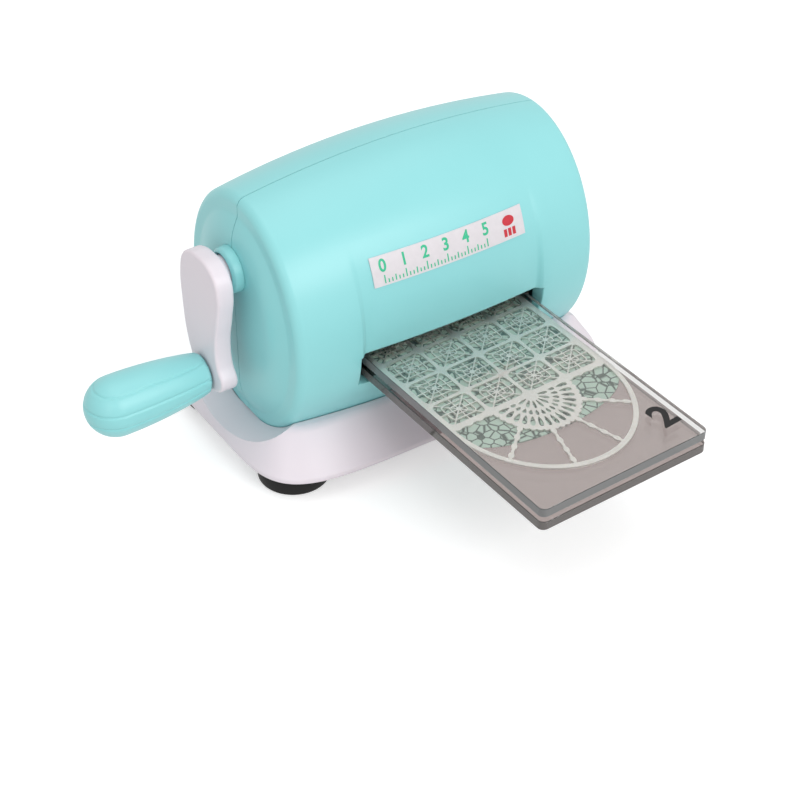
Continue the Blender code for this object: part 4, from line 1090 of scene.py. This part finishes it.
card = dress(card, "printed_card", printed_card)
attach(card, "plate_stack")
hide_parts("paper_card")


# FLOOR, LIGHT AND CAMERA
# A white sweep under soft daylight, seen from the photograph's standpoint. Three large
# soft lamps light the piece from the front, above and the left.
floor_white, floor_shader = start_material("floor_white", 0.9)[:2]
floor_shader.inputs["Base Color"].default_value = (0.78, 0.78, 0.78, 1)
floor_shader.inputs["Specular IOR Level"].default_value = 0.0
floor = start_shape(bpy.ops.mesh.primitive_plane_add, size=8, location=(0, 0, 0))
floor.name = "floor"
floor.data.materials.append(floor_white)
path = add_node(floor_white, "ShaderNodeLightPath", {}, {}, {})
lift = add_node(floor_white, "ShaderNodeMath", {"operation": "MULTIPLY"}, {1: 0.45},
                {0: path.outputs["Is Camera Ray"]})
floor_shader.inputs["Emission Color"].default_value = (1, 1, 1, 1)
feed(floor_white, floor_shader, {"Emission Strength": lift.outputs["Value"]})
beyond = add_node(floor_white, "ShaderNodeMath", {"operation": "MAXIMUM"}, {},
                  {0: path.outputs["Is Glossy Ray"], 1: path.outputs["Is Transmission Ray"]})
glow = add_node(floor_white, "ShaderNodeEmission", {}, {"Strength": 0.92}, {})
either = add_node(floor_white, "ShaderNodeMixShader", {}, {},
                  {"Fac": beyond.outputs["Value"], 1: floor_shader.outputs["BSDF"],
                   2: glow.outputs["Emission"]})
feed(floor_white, floor_white.node_tree.nodes["Material Output"],
     {"Surface": either.outputs["Shader"]})

world = bpy.data.worlds.new("studio")
bpy.context.scene.world = world
world.use_nodes = True
backdrop = world.node_tree.nodes["Background"]
backdrop.inputs["Color"].default_value = (1, 1, 1, 1)
path = add_node(world, "ShaderNodeLightPath", {}, {}, {})
direct = add_node(world, "ShaderNodeMath", {"operation": "MAXIMUM"}, {},
                  {0: path.outputs["Is Camera Ray"], 1: path.outputs["Is Transmission Ray"]})
any_sight = add_node(world, "ShaderNodeMath", {"operation": "MAXIMUM"}, {},
                     {0: direct.outputs["Value"], 1: path.outputs["Is Glossy Ray"]})
glare = add_node(world, "ShaderNodeMapRange", {}, {"To Min": 0.66, "To Max": 1.0},
                 {"Value": any_sight.outputs["Value"]})
feed(world, backdrop, {"Strength": glare.outputs["Result"]})

for name, place, width, height, power in (
        ("front_box", (0.20, -1.10, 0.75), 0.9, 0.6, 6.4),
        ("top_box", (0.05, 0.10, 1.30), 1.2, 1.2, 3.6),
        ("left_box", (-0.95, -0.75, 0.65), 0.6, 0.8, 1.9)):
    lamp = bpy.data.lights.new(name, "AREA")
    lamp.shape = "RECTANGLE"
    lamp.size, lamp.size_y = width, height
    lamp.energy = power
    box = bpy.data.objects.new(name, lamp)
    bpy.context.scene.collection.objects.link(box)
    box.location = place
    box.rotation_mode = "QUATERNION"
    box.rotation_quaternion = (Vector((0.02, 0.03, 0.05)) - Vector(place)).to_track_quat("-Z", "Y")

camera_data = bpy.data.cameras.new("camera")
camera_data.lens = 87.453
camera_data.sensor_width = 36
camera = bpy.data.objects.new("camera", camera_data)
bpy.context.scene.collection.objects.link(camera)
yaw, pitch = math.radians(33.337), math.radians(38.100)
look = Vector((math.sin(yaw) * math.cos(pitch), math.cos(yaw) * math.cos(pitch), -math.sin(pitch)))
camera.location = (-0.315997, -0.480885, 0.482681)
camera.rotation_mode = "QUATERNION"
camera.rotation_quaternion = look.to_track_quat("-Z", "Y")
bpy.context.scene.camera = camera
bpy.context.scene.view_settings.view_transform = "Standard"
